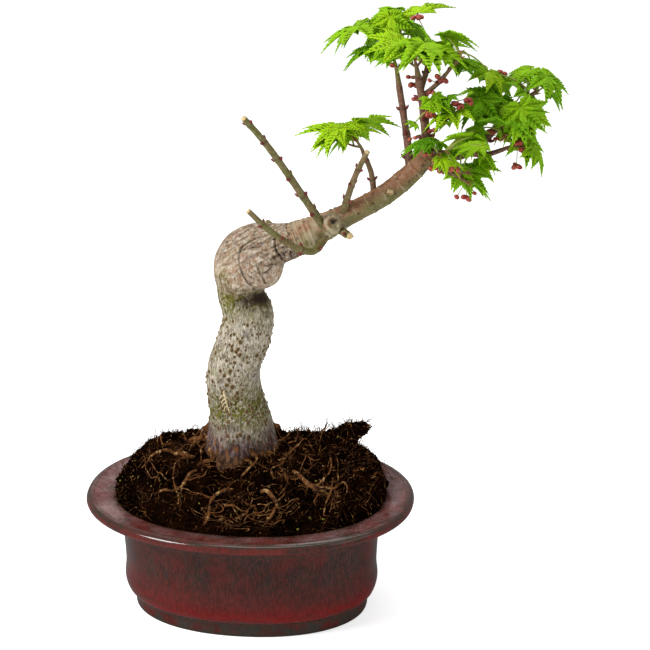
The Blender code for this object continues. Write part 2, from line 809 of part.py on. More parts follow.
def leaf_faces():
    """Triangles of one side of a leaf, as places in its outline: the palm, then each lobe."""
    hub = 2 + sum(1 if i in (0, len(LOBES) - 1) else 3 for i in range(len(LOBES))) + len(LOBES) - 2
    faces, start = [], 0
    for i in range(len(LOBES)):
        tip = start + (1 if i in (0, len(LOBES) - 1) else 2)
        end = (tip + 1 if i in (0, len(LOBES) - 1) else tip + 2) % hub
        faces.append((hub, start, end))
        if tip == start + 1:
            faces.append((start, tip, end))
        else:
            faces += [(start, tip - 1, tip + 1), (start, tip + 1, end), (tip - 1, tip, tip + 1)]
        start = end
    return faces


def make_leaf(leaf, material):
    points, normal = leaf_world(leaf)
    bm = bmesh.new()
    outlines = []
    for offset in (normal * LEAF_THICKNESS / 2, -normal * LEAF_THICKNESS / 2):
        verts = [bm.verts.new(p + offset) for p in points]
        for corners in leaf_faces():
            bm.faces.new([verts[i] for i in corners])
        outlines.append(verts[:-1])
    upper, lower = outlines
    for i, vertex in enumerate(upper):
        j = (i + 1) % len(upper)
        bm.faces.new((vertex, lower[i], lower[j], upper[j]))
    return place("leaf", bm, material)


def make_rod(points, radii, material, sides=3):
    return loft("rod", tube_rings(points, radii, sides), material)


def make_mass(mass, tip, heading, wood, leaf_finish):
    grown = grow_mass(mass, tip, heading, wood)
    points, radii = grown["twigs"][0]
    stem = loft(mass, tube_rings(points, radii, 5), leaf_finish)
    pieces = [make_rod(points, radii, leaf_finish, 4) for points, radii in grown["twigs"][1:]]
    thin = [PETIOLE_RADIUS, PETIOLE_RADIUS * 0.8]
    for leaf in grown["leaves"]:
        pieces.append(make_rod([leaf["foot"], leaf["hub"]], thin, leaf_finish))
        pieces.append(make_leaf(leaf, leaf_finish))
    for cluster in grown["berries"]:
        pieces.append(make_rod([cluster["foot"], cluster["knot"]], thin, leaf_finish))
        for spot in cluster["spots"]:
            pieces.append(ball("berry", spot, BERRY_RADIUS, leaf_finish, cuts=1))
    scraps = fuse(stem, pieces, "MANIFOLD")
    counts = [f"{len(grown[kind])} {kind}" for kind in ("twigs", "leaves", "berries")]
    print(mass, *counts, scraps, "scraps", len(stem.data.polygons), "faces")


def main():
    clear_scene()
    glaze = finish("glaze", (0.17, 0.035, 0.035), 0.15)
    soil = finish("potting_soil", (0.045, 0.024, 0.014), 0.95)
    bark = finish("old_bark", (0.46, 0.42, 0.36), 0.8)
    young_bark = finish("young_bark", (0.24, 0.15, 0.10), 0.6)
    leaf_finish = finish("leaf", (0.22, 0.48, 0.03), 0.5)

    make_pot(glaze)
    make_wood(bark, young_bark)
    wood_clearance = make_wood_clearance(bark)
    make_root_ball(soil, wood_clearance)
    make_limbs(young_bark, wood_clearance)

    wood = all_wood()
    for mass in FOLIAGE:
        tip, heading = mass_root(mass)
        make_mass(mass, tip, heading, wood, leaf_finish)


main()
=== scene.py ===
# %% [markdown]
# # A maple bonsai in its glazed pot
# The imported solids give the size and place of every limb, leaf and wall. This lesson replaces them with the
# surfaces that a close look shows: bark with its pores and scars, toothed leaves, fibrous peat, and a glaze
# that breaks at its edges. Pot, peat and wood are worked out again from the same named sizes. Of the
# leaves, only those that show from the front are set anew, one by one.

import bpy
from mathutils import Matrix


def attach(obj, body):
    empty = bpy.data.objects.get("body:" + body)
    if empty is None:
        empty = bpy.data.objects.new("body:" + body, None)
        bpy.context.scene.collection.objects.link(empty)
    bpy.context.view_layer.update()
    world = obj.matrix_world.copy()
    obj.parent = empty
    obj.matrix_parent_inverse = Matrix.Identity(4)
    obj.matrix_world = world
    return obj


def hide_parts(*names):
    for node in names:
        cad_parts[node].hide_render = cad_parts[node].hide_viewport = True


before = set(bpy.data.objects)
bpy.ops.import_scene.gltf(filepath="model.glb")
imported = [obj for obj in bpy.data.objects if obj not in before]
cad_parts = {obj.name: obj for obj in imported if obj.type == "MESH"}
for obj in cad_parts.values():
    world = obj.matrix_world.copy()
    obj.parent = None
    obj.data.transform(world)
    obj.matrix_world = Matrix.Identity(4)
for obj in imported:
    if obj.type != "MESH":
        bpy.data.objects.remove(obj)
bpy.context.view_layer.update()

# %% What the lesson uses
import math
import random

import bmesh
import bpy
import numpy as np
from mathutils import Matrix, Vector
from mathutils.bvhtree import BVHTree
from mathutils.kdtree import KDTree

MM = 0.001
GAP = 0.3 * MM
TURN = 2 * math.pi

# %% [markdown]
# ## Arrays for shapes, nodes for repeats
# Bark and soil are grids with a value worked out at every point, which numpy does for tens of thousands of
# points at once. What repeats or follows a path, such as fibres, stalks and buds, is left to Geometry
# Nodes. Both end as plain meshes, so that the finished piece carries no live modifier.

# %% Helpers for meshes
def put(name, data):
    """A new object in the scene."""
    made = bpy.data.objects.new(name, data)
    bpy.context.scene.collection.objects.link(made)
    return made


def keep_at_points(mesh, key, numbers):
    """Keeps a number at each point of a mesh, for a finish or a tree of nodes to read."""
    kept = mesh.attributes.new(key, "FLOAT", "POINT")
    kept.data.foreach_set("value", np.ravel(numbers).astype(np.float32))


def piece(name, points, faces, finish, **values):
    """An object from arrays of points and faces, with a named number at each point for its finish to read."""
    mesh = bpy.data.meshes.new(name)
    faces = faces.tolist() if isinstance(faces, np.ndarray) else faces
    mesh.from_pydata(np.asarray(points).reshape(-1, 3).tolist(), [], faces)
    for key, numbers in values.items():
        keep_at_points(mesh, key, numbers)
    mesh.shade_smooth()
    if finish:
        mesh.materials.append(finish)
    return put(name, mesh)


def triangles(made):
    made.data.calc_loop_triangles()
    return len(made.data.loop_triangles)


def make_plain(made):
    """Gives an object the plain mesh that its modifiers make of it, and removes them."""
    graph = bpy.context.evaluated_depsgraph_get()
    plain = bpy.data.meshes.new_from_object(made.evaluated_get(graph))
    made.modifiers.clear()
    made.data = plain


def settle(made, slot, *nodes):
    """Hands a finished piece over: it rides with the tree and stands for CAD nodes; slot is not used."""
    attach(made, "root")
    if nodes:
        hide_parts(*nodes)
    print(made.name, triangles(made), "triangles")


def sleeve(rows, sides, closed=(True, True)):
    """Faces that join rows of points round an axis; a closed end has one more point, after all the rows."""
    at = np.arange(rows * sides).reshape(rows, sides)
    on = np.roll(at, -1, axis=1)
    quads = np.stack([at[:-1], on[:-1], on[1:], at[1:]], axis=-1).reshape(-1, 4).tolist()
    middle = rows * sides
    if closed[0]:
        quads += [[b, a, middle] for a, b in zip(at[0].tolist(), on[0].tolist())]
        middle += 1
    if closed[1]:
        quads += [[a, b, middle] for a, b in zip(at[-1].tolist(), on[-1].tolist())]
    return quads


def grain(points, size, seed=0, octaves=1):
    """Smooth random values from -1 to 1 over space, in patches of this size, with finer ones added."""
    total, strength, span = 0.0, 1.0, 0.0
    for octave in range(octaves):
        place = np.asarray(points) * (2**octave / size)
        low = np.floor(place).astype(np.int64)
        part = place - low
        part = part * part * (3 - 2 * part)
        value = 0.0
        for corner in np.ndindex(2, 2, 2):
            x, y, z = (low[..., k] + corner[k] for k in range(3))
            mixed = (x * 73856093) ^ (y * 19349663) ^ (z * 83492791) ^ ((seed * 7 + octave) * 2654435761)
            mixed = (mixed ^ (mixed >> 13)) * 1274126177
            mixed = (mixed ^ (mixed >> 16)) & 0xFFFF
            share = np.prod(np.where(corner, part, 1 - part), axis=-1)
            value = value + share * (mixed / 32768.0 - 1)
        total, span = total + strength * value, span + strength
        strength *= 0.5
    return total / span


def hump(value, middle, width):
    """1 at the middle, falling to 0 over about twice the width."""
    return np.exp(-(((value - middle) / width) ** 2))


# %% Helpers for node trees
def add(tree, kind, inputs=(), **settings):
    """A node of this kind. inputs gives a socket, by name or place, a socket to link or a value to hold."""
    made = tree.nodes.new(kind)
    for key, value in settings.items():
        setattr(made, key, value)
    for key, value in dict(inputs).items():
        if isinstance(value, bpy.types.NodeSocket):
            tree.links.new(value, made.inputs[key])
        else:
            made.inputs[key].default_value = value
    return made


def is_socket(value):
    return isinstance(value, bpy.types.NodeSocket)


def maths(operation, first, second):
    """A sum of two values, at least one of them a socket, which knows the tree it belongs to."""
    tree = (first if is_socket(first) else second).id_data
    return add(tree, "ShaderNodeMath", {0: first, 1: second}, operation=operation).outputs[0]


def product(first, *others):
    """Values multiplied: of masks, the places where all of them hold."""
    for other in others:
        first = maths("MULTIPLY", first, other)
    return first


def spread(value, low, high, out_low=0.0, out_high=1.0):
    """value from low to high, as out_low to out_high, held at both ends."""
    limits = {0: value, 1: low, 2: high, 3: out_low, 4: out_high}
    return add(value.id_data, "ShaderNodeMapRange", limits).outputs[0]


def tinted(share, first, second):
    """The first colour turned into the second by share."""
    first, second = [tone if is_socket(tone) else (*tone, 1.0) for tone in (first, second)]
    return add(share.id_data, "ShaderNodeMix", {0: share, 6: first, 7: second}, data_type="RGBA").outputs[2]


def over(base, tone, *masks):
    """The base turned into a tone where all the masks hold; a plain number among them makes it fainter."""
    return tinted(product(*masks), base, tone)


def sockets(tree, inputs, outputs):
    """Sockets on a group, each with its kind or a number to start from, and the group's two end nodes."""
    for name, start in inputs.items():
        kind = start if isinstance(start, str) else {int: "Int", float: "Float"}[type(start)]
        socket = tree.interface.new_socket(name, in_out="INPUT", socket_type="NodeSocket" + kind)
        if kind != start:
            socket.default_value = start
    for name, kind in outputs.items():
        tree.interface.new_socket(name, in_out="OUTPUT", socket_type="NodeSocket" + kind)
    return tree.nodes.new("NodeGroupInput").outputs, tree.nodes.new("NodeGroupOutput").inputs


def grow_with(tree, name, mesh, **sizes):
    """The plain mesh that a tree of Geometry Nodes makes of a mesh; sizes go in by their sockets' names."""
    carrier = put(name, mesh)
    modifier = carrier.modifiers.new("growth", "NODES")
    modifier.node_group = tree
    for item in tree.interface.items_tree:
        if item.in_out == "INPUT" and item.name in sizes:
            modifier[item.identifier] = sizes[item.name]
    make_plain(carrier)
    carrier.data.shade_smooth()
    return carrier


# %% [markdown]
# ## Patches and specks that several finishes share
# Glaze, peat and bark all vary in patches, and all have small dots in them: pinholes, grit, pores. Each
# effect is one shader group with named inputs, built once. A group only puts out masks, and each finish
# decides what they tint.

# %% The shared shader groups
def patch_group():
    """Cloudy patches of a size: Threshold sets how much they cover, Soft how blurred their edge is."""
    tree = bpy.data.node_groups.new("patches", "ShaderNodeTree")
    inputs = {"Place": "Vector", "Size": 10 * MM, "Threshold": 0.5, "Soft": 0.1}
    given, result = sockets(tree, inputs, {"Mask": "Float", "Cloud": "Float"})
    finer = maths("DIVIDE", 1.0, given["Size"])
    noise = {"Vector": given["Place"], "Scale": finer, "Detail": 5.0, "Roughness": 0.6}
    cloud = add(tree, "ShaderNodeTexNoise", noise).outputs["Fac"]
    low = maths("SUBTRACT", given["Threshold"], given["Soft"])
    high = maths("ADD", given["Threshold"], given["Soft"])
    tree.links.new(spread(cloud, low, high), result["Mask"])
    tree.links.new(cloud, result["Cloud"])
    return tree


def speck_group():
    """Scattered round specks, one in each cell of Size, reaching Reach of the way to their neighbours."""
    tree = bpy.data.node_groups.new("specks", "ShaderNodeTree")
    given, result = sockets(tree, {"Place": "Vector", "Size": 2 * MM, "Reach": 0.2}, {"Mask": "Float"})
    finer = maths("DIVIDE", 1.0, given["Size"])
    away = add(tree, "ShaderNodeTexVoronoi", {"Vector": given["Place"], "Scale": finer}).outputs["Distance"]
    tree.links.new(spread(away, given["Reach"], 0.0), result["Mask"])
    return tree


PATCHES = patch_group()
SPECKS = speck_group()


def patches(place, size, threshold=0.5, soft=0.1, output="Mask"):
    values = {"Place": place, "Size": size, "Threshold": threshold, "Soft": soft}
    return add(place.id_data, "ShaderNodeGroup", values, node_tree=PATCHES).outputs[output]


def specks(place, size, reach):
    values = {"Place": place, "Size": size, "Reach": reach}
    return add(place.id_data, "ShaderNodeGroup", values, node_tree=SPECKS).outputs["Mask"]


# %% Helpers for finishes
def bare_finish(name, **values):
    """A new material with these plain values, its node tree, its shader, and the place on the piece."""
    material = bpy.data.materials.new(name)
    material.use_nodes = True
    tree = material.node_tree
    shader = tree.nodes["Principled BSDF"]
    for key, value in values.items():
        shader.inputs[key.replace("_", " ")].default_value = value
    return material, tree, shader, add(tree, "ShaderNodeTexCoord").outputs["Object"]


def stretched(place, *factors):
    """A place with its x, y and z multiplied: patches on it are longer where a factor is small."""
    return add(place.id_data, "ShaderNodeVectorMath", {0: place, 1: factors}, operation="MULTIPLY").outputs[0]


def mark(tree, name):
    """The number that a piece holds at each point under this name."""
    return add(tree, "ShaderNodeAttribute", attribute_name=name).outputs["Fac"]


def coat_with(shader, base, roughness=None, height=None, depth=0.0):
    """Links a colour, and where they are given a roughness and a height for a bump, to a shader."""
    tree = shader.id_data
    tree.links.new(base, shader.inputs["Base Color"])
    if roughness is not None:
        tree.links.new(roughness, shader.inputs["Roughness"])
    if height is not None:
        bump = add(tree, "ShaderNodeBump", {"Height": height, "Distance": depth})
        tree.links.new(bump.outputs["Normal"], shader.inputs["Normal"])


# %% [markdown]
# ## The pot
# A shallow oval pot is pressed in a mould or thrown and squeezed: a foot, a belly low down, a hollow neck
# with turned lines, and a wide flat rim with a rounded lip. Its outline is one profile carried round an
# oval. The oval is worked out for each inset from the rim's outer edge, so every ring keeps the same
# character.

# %% The oval and the profile
POT_LENGTH = 180 * MM
POT_WIDTH = 140 * MM
OVAL_POWER = 2.12
RIM_WIDTH = 16.5 * MM
FLOOR = 8 * MM
FLOOR_INSET = 32 * MM
POT_SIDES = 240
PROFILE_STEPS = 9
POT_OUTSIDE = [  # (inset, height) in millimetres, from the foot to the lip
    (26.2, 0.0), (25.2, 1.0), (25.0, 7.2), (21.4, 11.0), (19.7, 17.5), (20.4, 28.0), (19.0, 47.5),
    (17.0, 53.5), (11.0, 59.0), (2.2, 61.4), (0.0, 63.6), (0.8, 66.0), (3.2, 67.0),
]
POT_INSIDE = [(15.0, 65.2), (16.5, 63.8), (22.5, 56.0), (26.0, 46.0), (28.0, 11.0)]
TURNED_LINES = [57.3, 54.6, 51.2]  # heights of the fine raised rings in the neck, mm


def smooth_line(stations, steps):
    """Stations joined by a Catmull-Rom curve; every value of a station is carried along."""
    line = []
    last = len(stations) - 1
    for i in range(last):
        before, here = stations[max(i - 1, 0)], stations[i]
        ahead, after = stations[i + 1], stations[min(i + 2, last)]
        for k in range(steps):
            t = k / steps
            station = []
            for a, b, c, d in zip(before, here, ahead, after):
                bend = (2 * a - 5 * b + 4 * c - d) * t**2 + (3 * b - a - 3 * c + d) * t**3
                station.append(0.5 * (2 * b + (c - a) * t + bend))
            line.append(tuple(station))
    line.append(tuple(stations[-1]))
    return line


def oval_radius(angle, inset):
    """Distance from the pot's axis to its oval, for arrays of angles and insets."""
    along = np.abs(np.cos(angle)) / (POT_LENGTH / 2 - inset)
    across = np.abs(np.sin(angle)) / (POT_WIDTH / 2 - inset)
    return (along**OVAL_POWER + across**OVAL_POWER) ** (-1 / OVAL_POWER)


# %% The glaze
def make_glaze():
    """Deep red, thin and olive black over edges, with dark clouds, a brighter belly and painted rim sheen."""
    coat = {"Coat_Weight": 0.50, "Coat_Roughness": 0.07, "Specular_IOR_Level": 0.28}
    material, tree, shader, place = bare_finish("oxblood_glaze", **coat)
    parts = add(tree, "ShaderNodeSeparateXYZ", {0: place}).outputs
    ahead, height = parts["Y"], parts["Z"]
    runs = stretched(place, 1.0, 1.0, 0.28)
    clouds = patches(place, 34 * MM, 0.480, 0.06)
    streaks = patches(runs, 7 * MM, 0.47, 0.10)
    fine_runs = patches(runs, 2.2 * MM, 0.5, 0.16)
    wall = spread(height, 20 * MM, 34 * MM)
    under_lip = spread(height, 44 * MM, 58 * MM)
    belly = product(spread(height, 8 * MM, 12 * MM), spread(height, 21 * MM, 14 * MM))
    uneven = spread(patches(place, 9 * MM, output="Cloud"), 0.3, 0.7, -4 * MM, 4 * MM)
    foot = spread(maths("ADD", height, uneven), 11 * MM, 7 * MM)

    base = tinted(fine_runs, (0.044, 0.0080, 0.0055), (0.078, 0.0105, 0.0075))
    blush = patches(place, 26 * MM, 0.48, 0.10)
    base = over(base, (0.105, 0.0085, 0.0062), blush, 0.6)
    base = over(base, (0.130, 0.0026, 0.0022), belly)
    ragged = spread(streaks, 0.0, 1.0, 0.60, 1.0)
    base = over(base, (0.017, 0.0105, 0.0075), clouds, ragged, wall, 0.92)
    base = over(base, (0.052, 0.028, 0.023), streaks, fine_runs, wall, 0.50)
    # partly painted shade, partly the glaze's own brown: patches that deepen upwards into the cove under the
    # lip
    brown = patches(runs, 13 * MM, 0.49, 0.12)
    base = over(base, (0.034, 0.018, 0.013), brown, under_lip, 0.7)
    smoke = patches(stretched(place, 0.4, 0.4, 2.0), 12 * MM, 0.56, 0.08)
    base = over(base, (0.028, 0.016, 0.012), smoke, belly, 0.7)
    base = over(base, (0.036, 0.028, 0.022), foot, patches(place, 11 * MM, 0.46, 0.08))
    # painted reflection: pale sheen in patches on the rim top, less in front, where a glossy glaze mirrors
    # the bright room
    less_in_front = spread(ahead, -64 * MM, -34 * MM, 0.40, 1.0)
    rim_sheen = patches(place, 14 * MM, 0.47, 0.12)
    base = over(base, (0.330, 0.220, 0.210), mark(tree, "rim"), less_in_front, rim_sheen, 0.9)
    flush = patches(place, 19 * MM, 0.50, 0.08)
    base = over(base, (0.170, 0.012, 0.010), flush, spread(height, 56 * MM, 60 * MM), 0.5)
    base = over(base, (0.026, 0.022, 0.013), mark(tree, "edge"), patches(place, 9 * MM, 0.40, 0.14))
    flecks = patches(runs, 0.9 * MM, 0.54, 0.05)
    base = over(base, (0.150, 0.020, 0.014), flecks, spread(height, 2 * MM, 12 * MM), 0.35)
    base = over(base, (0.012, 0.008, 0.006), patches(runs, 1.3 * MM, 0.57, 0.05), 0.35)
    pits = specks(place, 7 * MM, 0.085)
    base = over(base, (0.004, 0.003, 0.002), pits)

    rough = spread(patches(place, 16 * MM, output="Cloud"), 0.3, 0.7, 0.10, 0.26)
    waves = patches(place, 5 * MM, output="Cloud")
    surface = maths("SUBTRACT", waves, pits)
    coat_with(shader, base, rough, surface, 0.10 * MM)
    return material


glaze = make_glaze()

# %% The pot's body
def around(radius, angle, height):
    """Points at these distances from the pot's axis."""
    x, y = radius * np.cos(angle), radius * np.sin(angle)
    return np.stack([x, y, np.broadcast_to(height, np.shape(x))], axis=-1)


def make_pot():
    outside = smooth_line([(inset * MM, z * MM) for inset, z in POT_OUTSIDE], PROFILE_STEPS)
    rim_to_floor = [POT_OUTSIDE[-1]] + POT_INSIDE
    inside = smooth_line([(inset * MM, z * MM) for inset, z in rim_to_floor], PROFILE_STEPS)[1:]
    under = [(inset * MM, 0.0) for inset in (60, 45, 33, 27.5)]
    profile = np.array(under + outside + inside + [(FLOOR_INSET, FLOOR), (50 * MM, FLOOR)])
    inset, height = profile[:, 0], profile[:, 1]
    outer = np.arange(len(profile)) < len(under) + len(outside)
    ridges = sum(hump(height, line * MM, 0.55 * MM) for line in TURNED_LINES) * outer
    inset = inset - 0.35 * MM * ridges
    angle = TURN * (np.arange(POT_SIDES) + 0.5) / POT_SIDES
    radius = oval_radius(angle[None, :], inset[:, None])
    points = around(radius, angle, height[:, None])
    body = hump(height, 30 * MM, 30 * MM)[:, None] * outer[:, None]
    sway = 0.35 * MM * grain(points, 60 * MM, seed=3) * body
    points[..., :2] *= 1 + (sway / radius)[..., None]
    lip = hump(height, 66.3 * MM, 0.9 * MM) * (inset < 4.2 * MM)
    # partly painted shade, partly thin glaze: a dark line just under the lip's overhang, added to the edge
    # mark
    under_lip = 0.9 * hump(height, 60.6 * MM, 0.9 * MM) * outer
    step = 0.9 * hump(height, 8.2 * MM, 1.6 * MM) * outer
    foot = hump(height, 0.6 * MM, 1.2 * MM) * outer
    inner_edge = 0.8 * hump(height, 64.9 * MM, 0.7 * MM) * ~outer
    edge = np.clip(lip + under_lip + 0.8 * ridges + step + foot + inner_edge, 0, 1)
    rim = (height > 64 * MM) * (inset > 2.4 * MM) * 1.0
    total = np.concatenate([points.reshape(-1, 3), [(0, 0, 0), (0, 0, FLOOR)]])
    marks = {"edge": edge, "rim": rim}
    marks = {key: np.append(np.repeat(value, POT_SIDES), [0, 0]) for key, value in marks.items()}
    return piece("glazed_pot", total, sleeve(len(profile), POT_SIDES), glaze, **marks)


DRAIN_RADIUS = 6 * MM
DRAIN_OFFSET = 27 * MM


def drain(pot, side):
    """Cuts one drain hole through the floor."""
    round_bar = {"segments": 48, "radius1": DRAIN_RADIUS, "radius2": DRAIN_RADIUS, "depth": 4 * FLOOR}
    middle = Matrix.Translation((side * DRAIN_OFFSET, 0, FLOOR / 2))
    bm = bmesh.new()
    bmesh.ops.create_cone(bm, cap_ends=True, matrix=middle, **round_bar)
    mesh = bpy.data.meshes.new("drain")
    bm.to_mesh(mesh)
    bm.free()
    mesh.materials.append(glaze)
    cutter = put("drain", mesh)
    modifier = pot.modifiers.new("drain", "BOOLEAN")
    modifier.operation = "DIFFERENCE"
    modifier.object = cutter
    make_plain(pot)
    bpy.data.objects.remove(cutter, do_unlink=True)


pot = make_pot()
for side in (-1, 1):
    drain(pot, side)
settle(pot, "glaze", "pot")

# %% [markdown]
# ## The root ball
# The tree was slid into this pot with its ball of peat unbroken, so the peat stands higher than the rim,
# ragged at the back and with a clod hanging over at the right. Its form is a height worked out for every
# place. Crumbs and fibres are scattered over it by nodes, because thousands of them follow one surface.

# %% The form of the ball
BALL_SEAT = POT_INSIDE[1][1] * MM  # height at which the ball leaves the inside of the pot
BALL_LIP = 0.8 * MM
BALL_SHOULDER = 5 * MM
BALL_RISE = 27.5 * MM
BALL_TILT = 0.36  # how steeply the front slope rises towards the crest
BALL_FALL = 0.62  # and how steeply it falls behind it
CREST_Y = 13 * MM
BULGE = 2.2 * MM
LUMP = 1.3 * MM
CLOD_AT = (58 * MM, 24 * MM)
CLOD_RISE = 15 * MM
CLOD_SPREAD = 11 * MM
CLOD_LEAN = 8 * MM  # how far the clod hangs out to the right
CLOD_LEANS_ABOVE = 86 * MM
CLOD_HOLLOW = 11 * MM  # how far it is hollowed below that
CLOD_HOLLOW_Z = 89 * MM
BALL_SIDES = 300
BALL_RINGS = 110


def ball_bulge(angle):
    return np.clip(0.75 + 0.9 * np.sin(angle), 0, 1) ** 2 * (1 + 0.25 * np.sin(5 * angle))


def ball_edge(angle):
    """Distance and height of the top edge of the ball's side."""
    bulge = ball_bulge(angle)
    return oval_radius(angle, RIM_WIDTH + GAP - BULGE * bulge), BALL_SEAT + BALL_LIP + BALL_SHOULDER * bulge


def ball_height(x, y):
    """Height of the peat: steep sides, a long slope at the front, a clod at the back right."""
    angle = np.arctan2(y, x)
    edge_r, edge_z = ball_edge(angle)
    share = np.minimum(np.hypot(x, y) / edge_r, 1.0)
    right, back = np.maximum(0, np.cos(angle)), np.maximum(0, np.sin(angle))
    steep = 3.0 + 2.0 * np.abs(np.cos(angle)) + 4.0 * right + 3.0 * back
    rise = BALL_RISE + BALL_TILT * np.minimum(y, CREST_Y) - BALL_FALL * np.maximum(0, y - CREST_Y) + 0.04 * x
    rise = np.maximum(rise - (edge_z - BALL_SEAT), 1 * MM)
    away = ((x - CLOD_AT[0]) ** 2 + (y - CLOD_AT[1]) ** 2) / CLOD_SPREAD**2
    lumps = np.sin(x * 310 + 2 * np.sin(y * 160)) * np.cos(y * 270 + 0.6)
    lumps = LUMP * (lumps + 0.5 * np.sin(x * 520 - y * 410)) * np.minimum(1.0, 2 * share)
    clod = CLOD_RISE * np.exp(-away)
    return edge_z + rise * (1 - share**steep) + (lumps + clod) * (1 - share**6)


# %% Peat and roots as finishes
def make_peat():
    material, _, shader, place = bare_finish("peat", Roughness=0.95, Specular_IOR_Level=0.0)
    base = tinted(patches(place, 3.5 * MM, 0.5, 0.12), (0.0004, 0.0003, 0.0002), (0.0030, 0.0012, 0.0006))
    warm = patches(place, 14 * MM, 0.55, 0.10)
    grit = patches(place, 1.1 * MM, 0.58, 0.05)
    base = over(base, (0.024, 0.009, 0.0030), grit, 0.65)
    base = over(base, (0.022, 0.007, 0.0024), warm, 0.4)
    crumbly = maths("ADD", patches(place, 1.5 * MM, output="Cloud"), grit)
    coat_with(shader, base, height=crumbly, depth=0.5 * MM)
    return material


def make_root_skin(name, pale, mid, dark, patch):
    """Wood or bark of three tones in patches of a size."""
    material, _, shader, place = bare_finish(name, Roughness=0.75, Specular_IOR_Level=0.08)
    base = tinted(patches(place, patch, 0.47, 0.10), dark, mid)
    base = over(base, pale, patches(place, 0.7 * patch, 0.60, 0.06))
    coat_with(shader, base, height=patches(place, 0.8 * MM, output="Cloud"), depth=0.25 * MM)
    return material


peat = make_peat()
ROOT_TONES = [(0.43, 0.25, 0.100), (0.155, 0.060, 0.017), (0.022, 0.007, 0.003)]
FIBRE_TONES = [(0.34, 0.15, 0.040), (0.060, 0.019, 0.005), (0.004, 0.0016, 0.0008)]
root_skin = make_root_skin("root_skin", *ROOT_TONES, 4 * MM)
fibre_skin = make_root_skin("fibre", *FIBRE_TONES, 6 * MM)

# %% The peat itself
def make_peat_ball():
    angle = TURN * (np.arange(BALL_SIDES) + 0.5) / BALL_SIDES
    against_wall = [(inset * MM + 1.5 * GAP, z * MM) for inset, z in POT_INSIDE[:0:-1]]
    rings = []
    for inset, z in [(FLOOR_INSET + GAP, FLOOR + GAP)] + against_wall:
        rings.append(around(oval_radius(angle, inset), angle, z))
    edge_r, edge_z = ball_edge(angle)
    for k in range(BALL_RINGS):
        share = 1 - k / (BALL_RINGS + 1)
        x, y = share * edge_r * np.cos(angle), share * edge_r * np.sin(angle)
        z = ball_height(x, y) if k else edge_z
        top = np.stack([x, y, z], axis=-1)
        soft = min(1.0, k / 4)
        from_clod = np.hypot(x - CLOD_AT[0], y - CLOD_AT[1])
        relief = 1.7 * MM * grain(top, 7 * MM, seed=11, octaves=4)
        relief = relief + 1.0 * MM * np.abs(grain(top, 2.4 * MM, seed=12, octaves=2))
        relief = relief * (1 + 1.6 * hump(from_clod, 0, 13 * MM))
        top[:, 2] += relief * soft
        ragged = 2.2 * MM * grain(top, 5 * MM, seed=13, octaves=3) * hump(share, 0.95, 0.12)
        top[:, :2] *= 1 + (ragged / edge_r)[:, None]
        lean = CLOD_LEAN * hump(from_clod, 0, CLOD_SPREAD)
        lean = lean * np.clip((top[:, 2] - CLOD_LEANS_ABOVE) / (12 * MM), 0, 1)
        hollow = CLOD_HOLLOW * hump(top[:, 2], CLOD_HOLLOW_Z, 6.5 * MM) * hump(y, 16 * MM, 18 * MM)
        hollow = hollow * np.clip((x - 50 * MM) / (12 * MM), 0, 1)
        top[:, 0] += lean - hollow
        top[:, 1] += 0.3 * lean
        ruffle = np.hypot(x - CLOD_AT[0] - 6 * MM, y - CLOD_AT[1])
        top[:, 0] += 2.2 * MM * grain(top, 3 * MM, seed=15, octaves=3) * hump(ruffle, 0, 16 * MM)
        rings.append(top)
    points = np.concatenate(rings + [[(0, 0, FLOOR + GAP), (0, 0, ball_height(0.0, 1e-6))]])
    return piece("peat_ball", points, sleeve(len(rings), BALL_SIDES), peat)


peat_ball = make_peat_ball()
print("peat ball:", triangles(peat_ball), "triangles")

# %% [markdown]
# ## Crumbs and fibres over the peat
# The tree of nodes spreads points over the top of the ball, puts a crumb or a thin curve at each, and turns
# the curves into wires that wander with a noise. Named inputs set how many, how long and how thick, so the
# same two trees later give the splinters of root, the wisps that stand on the clod, the dust of bark and
# the bits of moss.

# %% Helpers for trees that grow things
def growing_tree(name, **inputs):
    """A tree that takes a mesh, these inputs and a finish: the tree, and its two end nodes."""
    tree = bpy.data.node_groups.new(name, "GeometryNodeTree")
    inputs = {"Geometry": "Geometry", **inputs, "Finish": "Material"}
    return tree, *sockets(tree, inputs, {"Geometry": "Geometry"})


def dice(tree, low, high, seed, kind="FLOAT"):
    """A random value between two for each point: one number, or three for a FLOAT_VECTOR."""
    at = 2 if kind == "FLOAT" else 0
    made = add(tree, "FunctionNodeRandomValue", {at: low, at + 1: high, "Seed": seed}, data_type=kind)
    return made.outputs[at // 2]


def scattered(tree, given):
    """Points strewn over the mesh, Density of them on each square metre."""
    inputs = {"Mesh": given["Geometry"], "Density": given["Density"], "Seed": given["Seed"]}
    return add(tree, "GeometryNodeDistributePointsOnFaces", inputs).outputs


def real_copies(tree, points, form, turn, size):
    """A real copy of a form at each point, turned and scaled."""
    inputs = {"Points": points, "Instance": form, "Rotation": turn, "Scale": size}
    placed = add(tree, "GeometryNodeInstanceOnPoints", inputs)
    return add(tree, "GeometryNodeRealizeInstances", {"Geometry": placed.outputs[0]}).outputs[0]


def round_wires(tree, paths, sides, radius):
    wall = add(tree, "GeometryNodeCurvePrimitiveCircle", {"Resolution": sides, "Radius": 1.0})
    inputs = {"Curve": paths, "Profile Curve": wall.outputs["Curve"], "Scale": radius, "Fill Caps": True}
    return add(tree, "GeometryNodeCurveToMesh", inputs).outputs[0]


def end_with(tree, geometry, given, result):
    """The last step of a tree: what has grown takes the finish and goes out."""
    done = add(tree, "GeometryNodeSetMaterial", {"Geometry": geometry, "Material": given["Finish"]})
    tree.links.new(done.outputs[0], result["Geometry"])
    return tree


